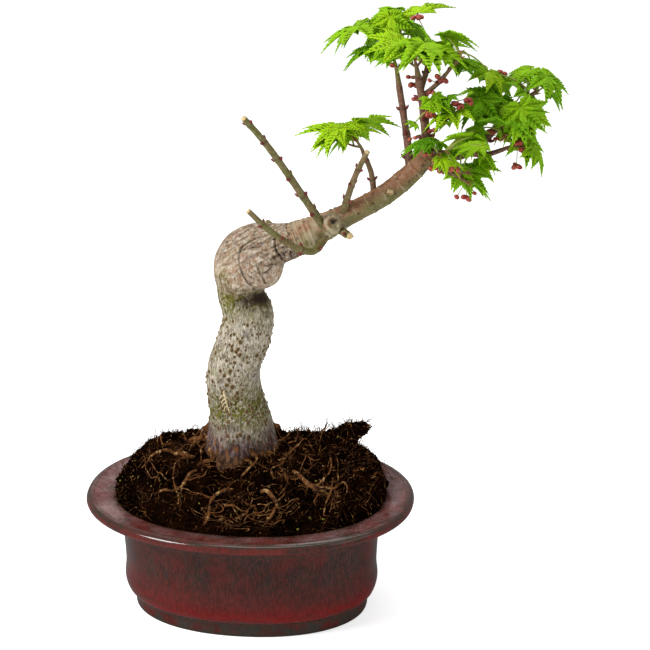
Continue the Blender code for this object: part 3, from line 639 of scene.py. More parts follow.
# %% A tree that scatters crumbs
def crumb_tree():
    sizes = {"Smallest": 0.3 * MM, "Largest": 1.2 * MM}
    tree, given, result = growing_tree("crumbs", Density=90000.0, **sizes, Seed=1)
    lump = add(tree, "GeometryNodeMeshIcoSphere", {"Radius": 1.0, "Subdivisions": 1}).outputs["Mesh"]
    turn = dice(tree, (0, 0, 0), (TURN, TURN, TURN), 3, "FLOAT_VECTOR")
    size = dice(tree, given["Smallest"], given["Largest"], 4)
    flat = dice(tree, (0.5, 0.5, 0.4), (1.3, 1.0, 0.9), 5, "FLOAT_VECTOR")
    scale = add(tree, "ShaderNodeVectorMath", {0: flat, "Scale": size}, operation="SCALE").outputs[0]
    spots = scattered(tree, given)["Points"]
    return end_with(tree, real_copies(tree, spots, lump, turn, scale), given, result)


# %% A tree that scatters fibres
def fibre_tree():
    sizes = {"Shortest": 4 * MM, "Longest": 16 * MM, "Thickness": 0.16 * MM, "Lift": 0.35, "Wander": 3 * MM}
    tree, given, result = growing_tree("fibres", Density=60000.0, **sizes, Seed=1)
    line = add(tree, "GeometryNodeCurvePrimitiveLine", {"Start": (0, 0, 0), "End": (1, 0, 0)})
    line = add(tree, "GeometryNodeResampleCurve", {"Curve": line.outputs["Curve"], "Count": 8})
    down, up = product(given["Lift"], -1.0), product(given["Lift"], 0.5)
    low = add(tree, "ShaderNodeCombineXYZ", {"X": -0.3, "Y": down, "Z": -math.pi}).outputs[0]
    high = add(tree, "ShaderNodeCombineXYZ", {"X": 0.3, "Y": up, "Z": math.pi}).outputs[0]
    spots = scattered(tree, given)
    turn = {"Rotation": spots["Rotation"], "Rotate By": dice(tree, low, high, 6, "FLOAT_VECTOR")}
    lie = add(tree, "FunctionNodeRotateRotation", turn, rotation_space="LOCAL").outputs[0]
    size = dice(tree, given["Shortest"], given["Longest"], 7)
    real = real_copies(tree, spots["Points"], line.outputs["Curve"], lie, size)
    here = add(tree, "GeometryNodeInputPosition").outputs[0]
    noise = add(tree, "ShaderNodeTexNoise", {"Vector": here, "Scale": 130.0, "Detail": 2.0}).outputs["Color"]
    middle = {0: noise, 1: (0.5, 0.5, 0.5)}
    centred = add(tree, "ShaderNodeVectorMath", middle, operation="SUBTRACT").outputs[0]
    much = product(given["Wander"], 3.0)
    sway = add(tree, "ShaderNodeVectorMath", {0: centred, "Scale": much}, operation="SCALE").outputs[0]
    bent = add(tree, "GeometryNodeSetPosition", {"Geometry": real, "Offset": sway}).outputs[0]
    taper = spread(add(tree, "GeometryNodeSplineParameter").outputs["Factor"], 0.0, 1.0, 1.0, 0.35)
    thick = product(taper, given["Thickness"], dice(tree, 0.5, 1.5, 8))
    return end_with(tree, round_wires(tree, bent, 3, thick), given, result)


CRUMBS = crumb_tree()
FIBRES = fibre_tree()

# %% Crumbs and fibres in place
def upper_peat(lowest):
    """The part of the ball's skin that lies above a height, to scatter things on."""
    mesh = peat_ball.data
    points = np.empty(len(mesh.vertices) * 3)
    mesh.vertices.foreach_get("co", points)
    points = points.reshape(-1, 3)
    faces = [p.vertices[:] for p in mesh.polygons if p.center.z > lowest and p.normal.z > 0.05]
    used = sorted({i for face in faces for i in face})
    place = {old: new for new, old in enumerate(used)}
    top = bpy.data.meshes.new("upper_peat")
    top.from_pydata(points[used].tolist(), [], [[place[i] for i in face] for face in faces])
    return top


def crumble(name, finish, lowest, density, smallest, largest, seed):
    """Crumbs over the peat above a height, as many as density on each square metre; lengths are in mm."""
    sizes = {"Density": density, "Smallest": smallest * MM, "Largest": largest * MM, "Seed": seed}
    return grow_with(CRUMBS, name, upper_peat(lowest * MM), Finish=finish, **sizes)


def strew(name, finish, lowest, density, shortest, longest, thickness, lift, wander, seed):
    """Fibres over the peat in the same way; lift is how steeply they stand off it."""
    sizes = {"Shortest": shortest * MM, "Longest": longest * MM, "Thickness": thickness * MM}
    sizes |= {"Density": density, "Lift": lift, "Wander": wander * MM, "Seed": seed}
    return grow_with(FIBRES, name, upper_peat(lowest * MM), Finish=finish, **sizes)


crumbs = crumble("crumbs", peat, 65, 300000.0, 0.3, 1.15, seed=4)
fibres = strew("fibres", fibre_skin, 65, 72000.0, 2.5, 20, 0.14, lift=0.9, wander=3.5, seed=8)
print("crumbs:", triangles(crumbs), "fibres:", triangles(fibres), "triangles")

# %% A tree that turns lines into round tubes
def tube_tree():
    tree, given, result = growing_tree("tubes", Sides=6)
    path = add(tree, "GeometryNodeMeshToCurve", {"Mesh": given["Geometry"]}).outputs[0]
    thick = add(tree, "GeometryNodeInputNamedAttribute", {"Name": "thick"}, data_type="FLOAT")
    wires = round_wires(tree, path, given["Sides"], thick.outputs["Attribute"])
    return end_with(tree, wires, given, result)


TUBES = tube_tree()


def tubes(name, lines, sides, finish):
    """Each line of points as a tapering tube of its own radii, all in one piece."""
    edges, start = [], 0
    for points, _ in lines:
        edges += [(start + i, start + i + 1) for i in range(len(points) - 1)]
        start += len(points)
    mesh = bpy.data.meshes.new(name)
    mesh.from_pydata(np.concatenate([points for points, _ in lines]).tolist(), edges, [])
    keep_at_points(mesh, "thick", np.concatenate([radii for _, radii in lines]))
    return grow_with(TUBES, name, mesh, Sides=sides, Finish=finish)


# %% [markdown]
# ## Roots that lie bare
# Washed-out roots run from the foot of the trunk over the peat, orange where their skin is new. Six long
# ones are in the solids too. Many thinner ones follow the same rule, which swings each root to and fro as
# it crosses the slope. Short ones, some of them stout, leave the trunk all round and hide where it meets
# the peat.

# %% Bare roots
BARE_ROOTS = [  # degrees and mm: angle and distance of each end, then radius
    (-38, 27, -22, 66, 1.7),
    (-62, 30, -74, 50, 1.5),
    (-100, 28, -118, 50, 1.3),
    (186, 27, 188, 66, 1.5),
    (215, 30, 206, 58, 1.2),
    (120, 28, 150, 58, 1.3),
]
SMALL_ROOTS = 112
COLLAR_ROOTS = 34
TRUNK_FOOT = (-6.5, 8)  # middle of the trunk's foot, in mm
ROOT_STEPS = 22


def bare_root(from_angle, from_r, to_angle, to_r, radius, lift=0.5):
    """A root over the peat, which dives into it at its far end."""
    t = np.linspace(0, 1, ROOT_STEPS)
    angle = np.radians(from_angle + (to_angle - from_angle) * t + 7 * np.sin(5 * t + from_r))
    r = (from_r + (to_r - from_r) * t) * MM
    x, y = r * np.cos(angle), r * np.sin(angle)
    kink = grain(np.stack([x, y, x * 0], axis=-1), 6 * MM, seed=int(from_r * 7), octaves=2)
    x, y = x + 1.6 * MM * kink, y - 1.3 * MM * kink
    dives = 2.2 * t**4 + (lift + 1.2) * (1 - t) ** 8
    z = ball_height(x, y) + radius * MM * (lift + 0.4 * np.sin(9 * t + to_r) - dives) + 0.4 * MM
    width = radius * MM * (1 - 0.55 * t) * (1 + 0.16 * np.sin(17 * t + from_angle))
    width = width * np.clip(0.4 + 4 * t, 0, 1)
    return np.stack([x, y, z], axis=-1), width


def small_roots(chance):
    lines = []
    for k in range(SMALL_ROOTS):
        angle = chance.uniform(-180, 180) if k % 3 else chance.uniform(-120, 10)
        start = chance.uniform(20, 52)
        length = chance.uniform(9, 26)
        turn = chance.uniform(-75, 75)
        radius = chance.choice((0.17, 0.22, 0.3, 0.4, 0.65))
        furthest = 62 if abs(math.sin(math.radians(angle))) < 0.6 else 48
        end = min(start + length * math.cos(math.radians(turn)), furthest)
        sweep = math.degrees(length * math.sin(math.radians(turn)) / start)
        points, width = bare_root(angle, start, angle + sweep, end, radius, lift=chance.uniform(0.4, 2.2))
        lines.append((points, width))
        if chance.random() < 0.6:
            middle = chance.randint(6, 13)
            side = points[middle] - points[middle - 1]
            out = np.array([-side[1], side[0], 0.0]) * chance.choice((-1, 1)) + 0.6 * side
            reach = np.linspace(0, chance.uniform(4, 9) * MM, 9)[:, None]
            branch = points[middle] + out / np.linalg.norm(out) * reach
            branch[:, 2] = ball_height(branch[:, 0], branch[:, 1]) + 0.5 * MM - 0.25 * reach[:, 0] + 0.5 * MM
            branch[0] = points[middle]
            lines.append((branch, width[middle] * np.linspace(0.7, 0.3, 9)))
    return lines


def collar_roots(chance):
    """Short roots that leave the foot of the trunk and hide where it meets the peat."""
    lines = []
    for k in range(COLLAR_ROOTS):
        angle = TURN * k / COLLAR_ROOTS + chance.uniform(-0.1, 0.1)
        turn = chance.uniform(-0.5, 0.5)
        t = np.linspace(0, 1, ROOT_STEPS)
        length = chance.uniform(9, 17)
        r = ((13.5 if k % 5 == 1 else 15.8) + length * t) * MM
        way = angle + turn * t + 0.12 * np.sin(9 * t + k)
        x, y = TRUNK_FOOT[0] * MM + r * np.cos(way), TRUNK_FOOT[1] * MM + r * np.sin(way)
        stout = 2.3 if k % 5 == 1 else chance.choice((0.3, 0.45, 0.6, 1.1))
        width = stout * MM * (1 - 0.6 * t) * (1 + 0.2 * np.sin(14 * t + k))
        rise = chance.uniform(3, 11) * MM * (1 - t) ** 2.4
        z = ball_height(x, y) + rise + width * (0.6 - 1.6 * t**3) + 0.5 * MM * np.sin(11 * t + 2 * k)
        lines.append((np.stack([x, y, z], axis=-1), width))
    return lines


root_lines = [bare_root(*root) for root in BARE_ROOTS] + small_roots(random.Random(21))
root_lines += collar_roots(random.Random(33))
roots = tubes("bare_roots", root_lines, 7, root_skin)

# %% Splinters, wisps, bark dust and moss
MOSS_TONES = [(0.43, 0.40, 0.050), (0.22, 0.20, 0.030), (0.06, 0.05, 0.010)]
splinters = strew("splinters", root_skin, 72, 9000.0, 1.2, 4.5, 0.36, lift=0.7, wander=1.2, seed=9)
wisps = strew("wisps", fibre_skin, 84, 150000.0, 2, 6, 0.30, lift=1.5, wander=2.5, seed=6)
bark_dust = crumble("bark_dust", root_skin, 66, 30000.0, 0.2, 0.7, seed=5)
moss_skin = make_root_skin("moss_skin", *MOSS_TONES, 1.5 * MM)
moss_bits = crumble("moss_bits", moss_skin, 66, 3500.0, 0.3, 1.1, seed=7)
for part in (peat_ball, crumbs, fibres, roots, splinters, wisps, bark_dust, moss_bits):
    settle(part, "potting_soil", "root_ball")

# %% [markdown]
# ## Trunk and bough
# The trunk is one old piece of wood, bent twice, cut back at the top of the second bend, where a side shoot
# took over as the new leader. The bark rolled over the old cuts and left a swelling with scars. A round
# tube through the stations gives the run of the wood, and the swellings are balls that the tube's skin is
# pushed out to. The relief is then worked out at every point: ripples, pores that stand proud, and scars
# that are cut in.

# %% Stations of the wood, in millimetres: x, y, z, radius
GROUND_Z = 84 * MM
WOOD_LINE = [
    (-5.0, 7.5, 84.0, 20.5),
    (-5.7, 7.2, 102.0, 17.6),
    (-7.6, 5.5, 118.0, 15.2),
    (-8.7, 3.1, 131.0, 14.5),
    (-6.0, -0.6, 145.0, 13.8),
    (-1.0, -2.0, 158.0, 13.6),
    (0.4, -0.9, 169.0, 13.4),
    (-3.4, 1.2, 180.5, 12.2),
    (-2.6, 3.7, 194.0, 16.0),
    (4.5, 3.5, 202.7, 15.6),
    (15.2, 2.6, 207.2, 11.6),
    (24.2, 2.5, 210.3, 9.4),
    (32.0, 3.2, 213.8, 8.4),
    (41.5, 3.4, 218.2, 7.2),
    (50.3, 3.3, 223.4, 6.1),
    (59.7, 3.4, 228.6, 5.6),
    (72.0, 4.5, 235.8, 5.4),
    (83.1, 6.7, 244.9, 5.3),
    (91.5, 9.3, 253.3, 4.7),
    (95.2, 10.4, 258.0, 4.0),
]
TRUNK_STATIONS = 12  # the first of them belong to the trunk, and the last one is where it meets the bough
FLARE_TOP = 22 * MM  # height over which the root flare dies away
FLARE_DEPTH = 0.17
BURLS = [((6.0, -1.5, 198.0), 13.8), ((-4.0, -2.0, 192.5), 12.5)]  # swellings on the bend: centre, radius
COLLARS = [((45.7, -3.6, 221.8), 5.2), ((35.0, -1.5, 212.5), 5.6)]  # swollen knots on the bough

# %% The skin of the wood
WOOD_STEPS = 36  # rows of points for each station
TRUNK_SIDES = 216
BOUGH_SIDES = 112
SMOOTHING = 2.5 * MM  # how softly a swelling runs into the tube


def metres(stations):
    return [tuple(value * MM for value in station) for station in stations]


def frames_of(points):
    """Directions along a line, and two square to it that don't twist along it."""
    ahead = np.gradient(points, axis=0)
    ahead /= np.linalg.norm(ahead, axis=1)[:, None]
    side = np.array([1.0, 0, 0]) - ahead[0] * ahead[0, 0]
    sides = []
    for direction in ahead:
        side = side - direction * (side @ direction)
        side = side / np.linalg.norm(side)
        sides.append(side)
    sides = np.array(sides)
    return ahead, sides, np.cross(ahead, sides)


def wood_skin(first, last, count, swellings):
    """The middle of the wood for each row of points, the directions out of it, and how far the skin is."""
    line = np.array(smooth_line(metres(WOOD_LINE), WOOD_STEPS))
    _, side, other = frames_of(line[:, :3])
    rows = slice(first * WOOD_STEPS, last * WOOD_STEPS + 1)
    centre, radius = line[rows, None, :3], line[rows, None, 3]
    angle = TURN * np.arange(count) / count
    out = np.cos(angle)[None, :, None] * side[rows, None] + np.sin(angle)[None, :, None] * other[rows, None]
    height = np.clip((centre[..., 2] - GROUND_Z) / FLARE_TOP, 0, 1)
    wave = np.cos(3 * angle + 0.7) + 0.55 * np.cos(5 * angle + 2.1)
    reach = radius * (1 + FLARE_DEPTH * (1 - height) ** 2 * (0.4 + wave))
    for at, size in swellings:
        offset = centre - np.array(at) * MM
        across = (out * offset).sum(-1)
        within = across**2 - (offset**2).sum(-1) + (size * MM) ** 2
        far = np.where(within > 0, -across + np.sqrt(np.maximum(within, 0)), 0)
        share = np.clip(0.5 + 0.5 * (far - reach) / SMOOTHING, 0, 1)
        reach = reach + (far - reach) * share + SMOOTHING * share * (1 - share)
    return centre, out, reach


# %% [markdown]
# ## Bark finishes
# Old bark of this tree is smooth and pale, between grey and straw, dotted with raised brown pores, and
# green with moss in places. The marks that the relief used, such as pore, scar and moss, are kept at each
# point, so the colours follow the relief exactly, and clouds of a finer scale break them up. The scar mark
# darkens each groove and crack that the relief cuts in: partly the scars' own dark, partly painted shade.
# Fine dark and pale flecks widen the bark's contrast: partly its own colour, partly painted shade and
# painted highlight.

# %% Old bark and young bark
def make_old_bark():
    material, tree, shader, place = bare_finish("old_bark", Specular_IOR_Level=0.2)
    tall = stretched(place, 1.0, 1.0, 0.35)
    broad = patches(place, 16 * MM, 0.5, 0.10)
    base = tinted(broad, (0.380, 0.315, 0.215), (0.235, 0.205, 0.180))
    base = over(base, (0.560, 0.500, 0.390), patches(tall, 3.5 * MM, 0.52, 0.14))
    base = over(base, (0.200, 0.185, 0.070), patches(place, 7 * MM, 0.53, 0.07), 0.6)
    # partly grime, partly painted shade: fine dark flecks along the grain that deepen the bark's contrast
    grime_and_shade = patches(tall, 1.0 * MM, 0.56, 0.04)
    base = over(base, (0.070, 0.045, 0.020), grime_and_shade, 0.9)
    # partly the bark's own chalk, partly painted highlight: fine pale flecks that widen the contrast
    base = over(base, (0.740, 0.680, 0.570), patches(tall, 0.9 * MM, 0.57, 0.04), 0.8)
    tan, moss, pore, damp = (mark(tree, name) for name in ("tan", "moss", "pore", "damp"))
    base = over(base, (0.430, 0.230, 0.125), tan, patches(place, 3 * MM, 0.42, 0.16), 0.85)
    base = over(base, (0.760, 0.670, 0.550), tan, patches(place, 2.6 * MM, 0.55, 0.06), 0.9)
    mossy = product(moss, patches(place, 1.6 * MM, 0.45, 0.06))
    base = over(base, (0.150, 0.140, 0.018), mossy)
    # dark moss in the same flecks, partly painted shade as well
    base = over(base, (0.030, 0.030, 0.006), mossy, grime_and_shade)
    base = over(base, (0.560, 0.500, 0.380), spread(pore, 0.01, 0.10), 0.45)
    base = over(base, (0.165, 0.098, 0.034), spread(pore, 0.12, 0.40))
    base = over(base, (0.085, 0.048, 0.020), spread(pore, 0.55, 0.90), 0.7)
    drawn = stretched(place, 1.0, 1.0, 0.22)
    wet = tinted(patches(drawn, 1.7 * MM, 0.54, 0.06), (0.052, 0.028, 0.026), (0.215, 0.155, 0.155))
    base = over(base, wet, damp, patches(drawn, 2.2 * MM, 0.33, 0.10))
    base = over(base, (0.240, 0.078, 0.018), damp, patches(drawn, 1.5 * MM, 0.58, 0.04))
    rooty = tinted(patches(drawn, 2.0 * MM, 0.50, 0.08), (0.014, 0.007, 0.005), (0.165, 0.075, 0.030))
    base = over(base, rooty, mark(tree, "earth"))
    # partly the scars' own dark, partly painted shade in every groove and crack
    base = over(base, (0.035, 0.020, 0.011), mark(tree, "scar_and_shade"))
    rough = spread(patches(place, 5 * MM, output="Cloud"), 0.3, 0.7, 0.65, 0.85)
    fine = maths("ADD", patches(tall, 1.2 * MM, output="Cloud"), patches(place, 0.5 * MM, output="Cloud"))
    coat_with(shader, base, rough, fine, 0.85 * MM)
    return material


def make_young_bark():
    """Smooth bark of boughs and twigs: olive in shade, ruddy in the sun or when young, pale on a cut."""
    material, tree, shader, place = bare_finish("young_bark", Specular_IOR_Level=0.25)
    ruddy, sunny = mark(tree, "ruddy"), mark(tree, "sunny")
    olive = tinted(patches(place, 6 * MM, 0.5, 0.12), (0.105, 0.110, 0.022), (0.170, 0.150, 0.050))
    warm = tinted(patches(place, 5 * MM, 0.5, 0.12), (0.230, 0.095, 0.045), (0.300, 0.140, 0.070))
    plum = tinted(patches(place, 4 * MM, 0.5, 0.15), (0.120, 0.042, 0.034), (0.200, 0.088, 0.060))
    base = tinted(spread(sunny, 0.35, 0.75), olive, warm)
    base = over(base, plum, ruddy)
    base = over(base, (0.34, 0.27, 0.17), patches(place, 1.2 * MM, 0.58, 0.05), 0.45)
    base = over(base, (0.055, 0.020, 0.012), specks(place, 2.6 * MM, 0.17), 0.8)
    base = over(base, (0.40, 0.34, 0.22), mark(tree, "pale"))
    base = over(base, (0.060, 0.024, 0.018), mark(tree, "ring"))
    # partly rot, partly painted shade: the dark of holes and torn bark
    base = over(base, (0.020, 0.012, 0.008), mark(tree, "scar_and_shade"))
    cut = tinted(patches(place, 0.8 * MM), (0.66, 0.52, 0.27), (0.50, 0.34, 0.15))
    base = over(base, cut, mark(tree, "cut"))
    fine = patches(place, 0.9 * MM, output="Cloud")
    rough = spread(fine, 0.3, 0.7, 0.42, 0.62)
    coat_with(shader, base, rough, fine, 0.12 * MM)
    return material


old_bark = make_old_bark()
young_bark = make_young_bark()

# %% [markdown]
# ## The trunk's relief
# Pores are scattered at random with a smallest distance, longer along the wood than across. The scars are
# short curves on the front of the swelling, given in millimetres to the right and up from its middle, as
# seen from the front. Each pushes the skin in, with a rolled lip beside it.

# %% The view from the front, pores and scars
VIEW_TURN = math.radians(6)  # the front of the tree is seen from a little to the right, and from above
VIEW_TILT = math.radians(20)
VIEW_RIGHT = np.array([math.cos(VIEW_TURN), math.sin(VIEW_TURN), 0.0])
LEVEL = math.cos(VIEW_TILT)
VIEW_AHEAD = np.array([-math.sin(VIEW_TURN) * LEVEL, math.cos(VIEW_TURN) * LEVEL, -math.sin(VIEW_TILT)])
VIEW_UP = np.cross(VIEW_RIGHT, VIEW_AHEAD)
PORES = 760
PORE_HEIGHT = 0.75 * MM
ROLLED_SCAR = [(5.2, 14.0), (-1.0, 12.2), (-5.0, 10.2), (-8.6, 6.6), (-9.2, 0.5), (-7.2, -6.4), (-3.4, -11.6)]
SCARS = [  # each a curve of (right, up) from the larger swelling's middle, its width and its depth, in mm
    (ROLLED_SCAR, 0.30, 0.8),
    ([(1.0, 18.6), (-5.0, 17.2), (-9.4, 14.2)], 0.24, 0.4),
    ([(0.8, -3.2), (2.4, -6.6), (4.0, -10.2)], 0.44, 1.1),
    ([(3.4, -5.6), (6.6, -3.4), (8.5, -0.6)], 0.28, 0.6),
    ([(3.4, -1.2), (6.6, -1.6), (9.4, 2.0)], 0.22, 0.4),
    ([(9.2, 13.4), (9.6, 7.7), (12.6, 2.6), (16.0, -0.8)], 0.52, 1.3),
    ([(-20.0, 2.0), (-17.6, -1.2), (-13.6, 0.0)], 0.22, 0.4),
]


def seen_from_front(points, middle):
    offset = points - np.array(middle) * MM
    return np.stack([offset @ VIEW_RIGHT, offset @ VIEW_UP], axis=-1)


def near_curve(flat, curve):
    """Distance on the front view from each point to a curve through these stations."""
    line = np.array(smooth_line([tuple(c * MM for c in station) for station in curve], 6))
    nearest = np.full(flat.shape[:-1], 1.0)
    for start, end in zip(line, line[1:]):
        run = end - start
        share = np.clip(((flat - start) @ run) / (run @ run), 0, 1)
        nearest = np.minimum(nearest, np.linalg.norm(flat - start - share[..., None] * run, axis=-1))
    return nearest


def scatter_pores(points, chance, count, closest):
    """Places on the skin, none nearer to another than closest, each with a size."""
    rows, sides = points.shape[:2]
    chosen = []
    for _ in range(count * 12):
        row, column = chance.randrange(rows), chance.randrange(sides)
        spot = points[row, column]
        if all(np.abs(spot - other[0]).sum() > closest for other in chosen):
            chosen.append((spot, chance.choice((0.7, 0.85, 1.0, 1.25)) * MM))
        if len(chosen) == count:
            break
    return chosen


def pore_mask(points, ahead, pores, long=1.4):
    """1 on each pore, with a soft edge; pores are longer along the wood."""
    tree = KDTree(len(pores))
    for i, (spot, _) in enumerate(pores):
        tree.insert(spot, i)
    tree.balance()
    flat = points.reshape(-1, 3)
    nearest = np.array([tree.find(point)[1] for point in flat])
    spots = np.array([spot for spot, _ in pores])[nearest]
    sizes = np.array([size for _, size in pores])[nearest]
    offset = flat - spots
    direction = np.repeat(ahead, points.shape[1], axis=0)
    along = (offset * direction).sum(-1)
    across = np.sqrt(np.maximum((offset**2).sum(-1) - along**2, 0))
    ragged = 1 + 0.35 * grain(flat, 1.2 * MM, seed=31)
    away = np.hypot(along / long, across) / (sizes * ragged)
    return np.clip(1.6 - 1.6 * away, 0, 1).reshape(points.shape[:2])


# %% The trunk
PLATED_BELOW = 112 * MM  # here and below, heights at which the bark changes
FOOTING_BELOW = 100 * MM
DAMP_BELOW = 109 * MM
EARTHY_BELOW = 93 * MM
SMOOTH_ABOVE = 176 * MM
NECK_Z = 180 * MM
MOSS_Z = 117 * MM


def make_trunk():
    centre, out, reach = wood_skin(0, TRUNK_STATIONS - 1, TRUNK_SIDES, BURLS)
    points = centre + reach[..., None] * out
    ahead = frames_of(centre[:, 0])[0]
    z = points[..., 2]
    lumps = 0.55 * MM * grain(points, 11 * MM, seed=1, octaves=2)
    tall = points * np.array([1, 1, 0.35])
    ripples = 0.17 * MM * grain(tall, 1.8 * MM, seed=2, octaves=3)
    low = np.clip((PLATED_BELOW - z) / (20 * MM), 0, 1)
    plates = low * 0.8 * MM * grain(tall, 4 * MM, seed=5, octaves=3)
    footing = np.clip((FOOTING_BELOW - z) / (10 * MM), 0, 1)
    plates = plates + footing * 1.5 * MM * grain(points * np.array([1, 1, 0.25]), 5 * MM, seed=24, octaves=2)
    top = np.clip((z - SMOOTH_ABOVE) / (8 * MM), 0, 1)
    pores = scatter_pores(points, random.Random(5), PORES, 2.3 * MM)
    crowd = np.clip(1.1 + 1.8 * grain(points, 16 * MM, seed=6), 0, 1) * (1 - 0.92 * top)
    pore = pore_mask(points, ahead, pores) * crowd
    flat = seen_from_front(points, BURLS[0][0])
    front = np.clip(-(out @ VIEW_AHEAD) * 4, 0, 1)
    scar_and_shade, dent = np.zeros_like(z), np.zeros_like(z)
    broken = np.clip(0.5 + 1.3 * grain(points, 3 * MM, seed=26, octaves=2), 0.15, 1)
    for curve, width, depth in SCARS:
        away = near_curve(flat, curve)
        wander = 0.75 + 0.65 * grain(points, 2.2 * MM, seed=8, octaves=2)
        groove = hump(away, 0, width * MM * np.maximum(wander, 0.12)) * front
        lip = hump(away, 1.9 * width * MM, 1.1 * width * MM) * front
        dent = dent + depth * MM * (groove - 0.35 * lip)
        scar_and_shade = np.maximum(scar_and_shade, groove * broken)
    slant = np.stack([flat @ (0.88, 0.47) * 0.16, flat @ (-0.47, 0.88), 0 * z], axis=-1)
    wrinkle = (1 - np.abs(grain(slant, 1.5 * MM, seed=9, octaves=2))) ** 8 * top * front
    wrinkle = wrinkle * np.clip(0.55 + flat[..., 1] / (8 * MM) + 0.8 * grain(points, 7 * MM, seed=16), 0, 1)
    from_lump = np.hypot(flat[..., 0] - 2.0 * MM, flat[..., 1] + 1.5 * MM)
    turns = (from_lump + 1.5 * MM * grain(points, 7 * MM, seed=21)) / (2.1 * MM)
    rings = (1 - np.abs(np.sin(math.pi * turns))) ** 3 * hump(from_lump, 9 * MM, 4.5 * MM) * front * top
    rings = rings * np.clip(0.35 + 1.5 * grain(points, 4.5 * MM, seed=22), 0, 1)
    cracks = (1 - np.abs(grain(points, 3.4 * MM, seed=17, octaves=3))) ** 12 * top
    cracks = cracks * np.clip(grain(points, 9 * MM, seed=18) + 0.35, 0, 1)
    joint = np.clip((points[..., 0] - 17 * MM) / (6 * MM), 0, 1) * np.clip(-out[..., 2] + 0.7, 0, 1) * top
    torn = joint * np.clip(3.2 * np.abs(grain(points, 1.6 * MM, seed=19, octaves=2)) - 0.35, 0, 1)
    neck = hump(z, NECK_Z, 3.8 * MM) * np.clip((points[..., 0] + 8 * MM) / (9 * MM), 0, 1) * front
    neck = neck * np.clip(1.1 + 0.9 * grain(points, 2.5 * MM, seed=25, octaves=2), 0, 1)
    reach = reach + lumps + ripples + plates + PORE_HEIGHT * pore - dent - 0.9 * MM * neck
    reach = reach - 0.40 * MM * wrinkle - 0.35 * MM * cracks - 0.8 * MM * torn - 0.45 * MM * rings
    points = centre + reach[..., None] * out
    moss = 1.1 * hump(z, MOSS_Z, 10 * MM) * (0.4 + 0.6 * front)
    moss = np.maximum(moss, 1.1 * hump(z, 179 * MM, 6 * MM))
    green = hump(flat[..., 0], -18.5 * MM, 3.4 * MM) * hump(flat[..., 1], -8.5 * MM, 6.5 * MM)
    moss = np.clip(moss * (1 + 0.5 * grain(points, 6 * MM, seed=10)) + 0.7 * green * (front > 0), 0, 1)
    earth = (EARTHY_BELOW - z - 0.25 * points[..., 1]) / (5 * MM)
    earth = np.clip(earth + 0.9 * grain(points, 4 * MM, seed=23), 0, 1)
    damp = np.clip((DAMP_BELOW - z) / (13 * MM) + 0.5 * grain(points, 6 * MM, seed=14), 0, 1)
    tan = hump(flat[..., 0], 1.5 * MM, 7.5 * MM) * hump(flat[..., 1], 0.5 * MM, 8.5 * MM) * front
    tan = np.maximum(tan, 0.70 * top * front)
    # painted shade, partly the scars' own dark: grooves, neck, wrinkles, cracks, torn bark and rings darken
    dark = np.clip(scar_and_shade * 0.8 + 0.95 * neck + 0.7 * wrinkle + 0.6 * cracks + 0.9 * torn + 0.75 * rings, 0, 1)
    marks = {"pore": pore, "moss": moss, "damp": damp, "earth": earth, "tan": tan, "scar_and_shade": dark}
    ends = np.array([centre[0, 0], centre[-1, 0]])
    marks = {key: np.append(value.ravel(), [0, 0]) for key, value in marks.items()}
    rows = len(centre)
    total = np.concatenate([points.reshape(-1, 3), ends])
    return piece("old_trunk", total, sleeve(rows, TRUNK_SIDES), old_bark, **marks)


trunk = make_trunk()
settle(trunk, "old_bark", "trunk")

# %% [markdown]
# ## A rootlet on the bark
# A cream air root clings to the front of the trunk, branched mostly to one side, like a feather. Its places
# are given as seen from the front, and each is carried back along the line of sight to where it meets the
# bark.

# %% The rootlet
def meeting(tree, middle, right, up):
    """Where the line of sight through a place beside middle, in mm, meets a skin."""
    offset = Vector(VIEW_RIGHT) * right * MM + Vector(VIEW_UP) * up * MM
    start = Vector(middle) * MM + offset - Vector(VIEW_AHEAD) * 0.2
    return tree.ray_cast(start, Vector(VIEW_AHEAD))[:2]


def skin_tree(made):
    """A piece's skin as a search tree, which finds where a line meets it."""
    points = [vertex.co for vertex in made.data.vertices]
    return BVHTree.FromPolygons(points, [polygon.vertices[:] for polygon in made.data.polygons])


ROOTLET_AT = (-8, 5, 118)
ROOTLET = [  # lines of (right, up) from that place, and the radius at their start, in mm
    ([(-5.6, 5.2), (-4.8, 2.6), (-4.4, 0.0), (-3.6, -3.0), (-2.6, -7.0)], 0.60),
    ([(-4.9, 3.0), (-6.6, 2.4), (-7.6, 0.6)], 0.45),
    ([(-4.5, 1.0), (-6.2, 0.2), (-7.0, -1.8)], 0.45),
    ([(-4.2, -0.8), (-5.8, -1.6), (-6.4, -3.6)], 0.42),
    ([(-3.6, -3.0), (-5.2, -3.8), (-5.6, -5.4)], 0.40),
    ([(-4.6, 2.0), (-3.2, 1.4), (-2.4, 0.2)], 0.38),
]
bark = skin_tree(trunk)
rootlet_lines = []
for stations, thick in ROOTLET:
    met = [meeting(bark, ROOTLET_AT, *station) for station in smooth_line(stations, 5)]
    places = [place + 0.3 * MM * normal for place, normal in met]
    rootlet_lines.append((np.array(places), thick * MM * np.linspace(1.0, 0.5, len(places))))
CREAM_TONES = [(0.76, 0.66, 0.46), (0.66, 0.54, 0.32), (0.50, 0.38, 0.20)]
cream_root = make_root_skin("cream_root", *CREAM_TONES, 2 * MM)
rootlet = tubes("rootlet", rootlet_lines, 7, cream_root)
settle(rootlet, "old_bark", "trunk")

# %% [markdown]
# ## The bough
# Beyond the swelling the wood is younger: ringed with old bud scars, knotted where shoots were cut off,
# ruddy on its sunny side and olive below. One knot has rotted to a hole with a rolled rim, its dark partly
# rot and partly painted shade.

# %% The main bough
RINGS_AT = [0.035, 0.055, 0.078, 0.098, 0.135, 0.165, 0.25, 0.33, 0.36, 0.47, 0.55, 0.62, 0.71, 0.80, 0.90]
HOLE_MIDDLE = COLLARS[0][0]
HOLE_SIZE = 2.6 * MM


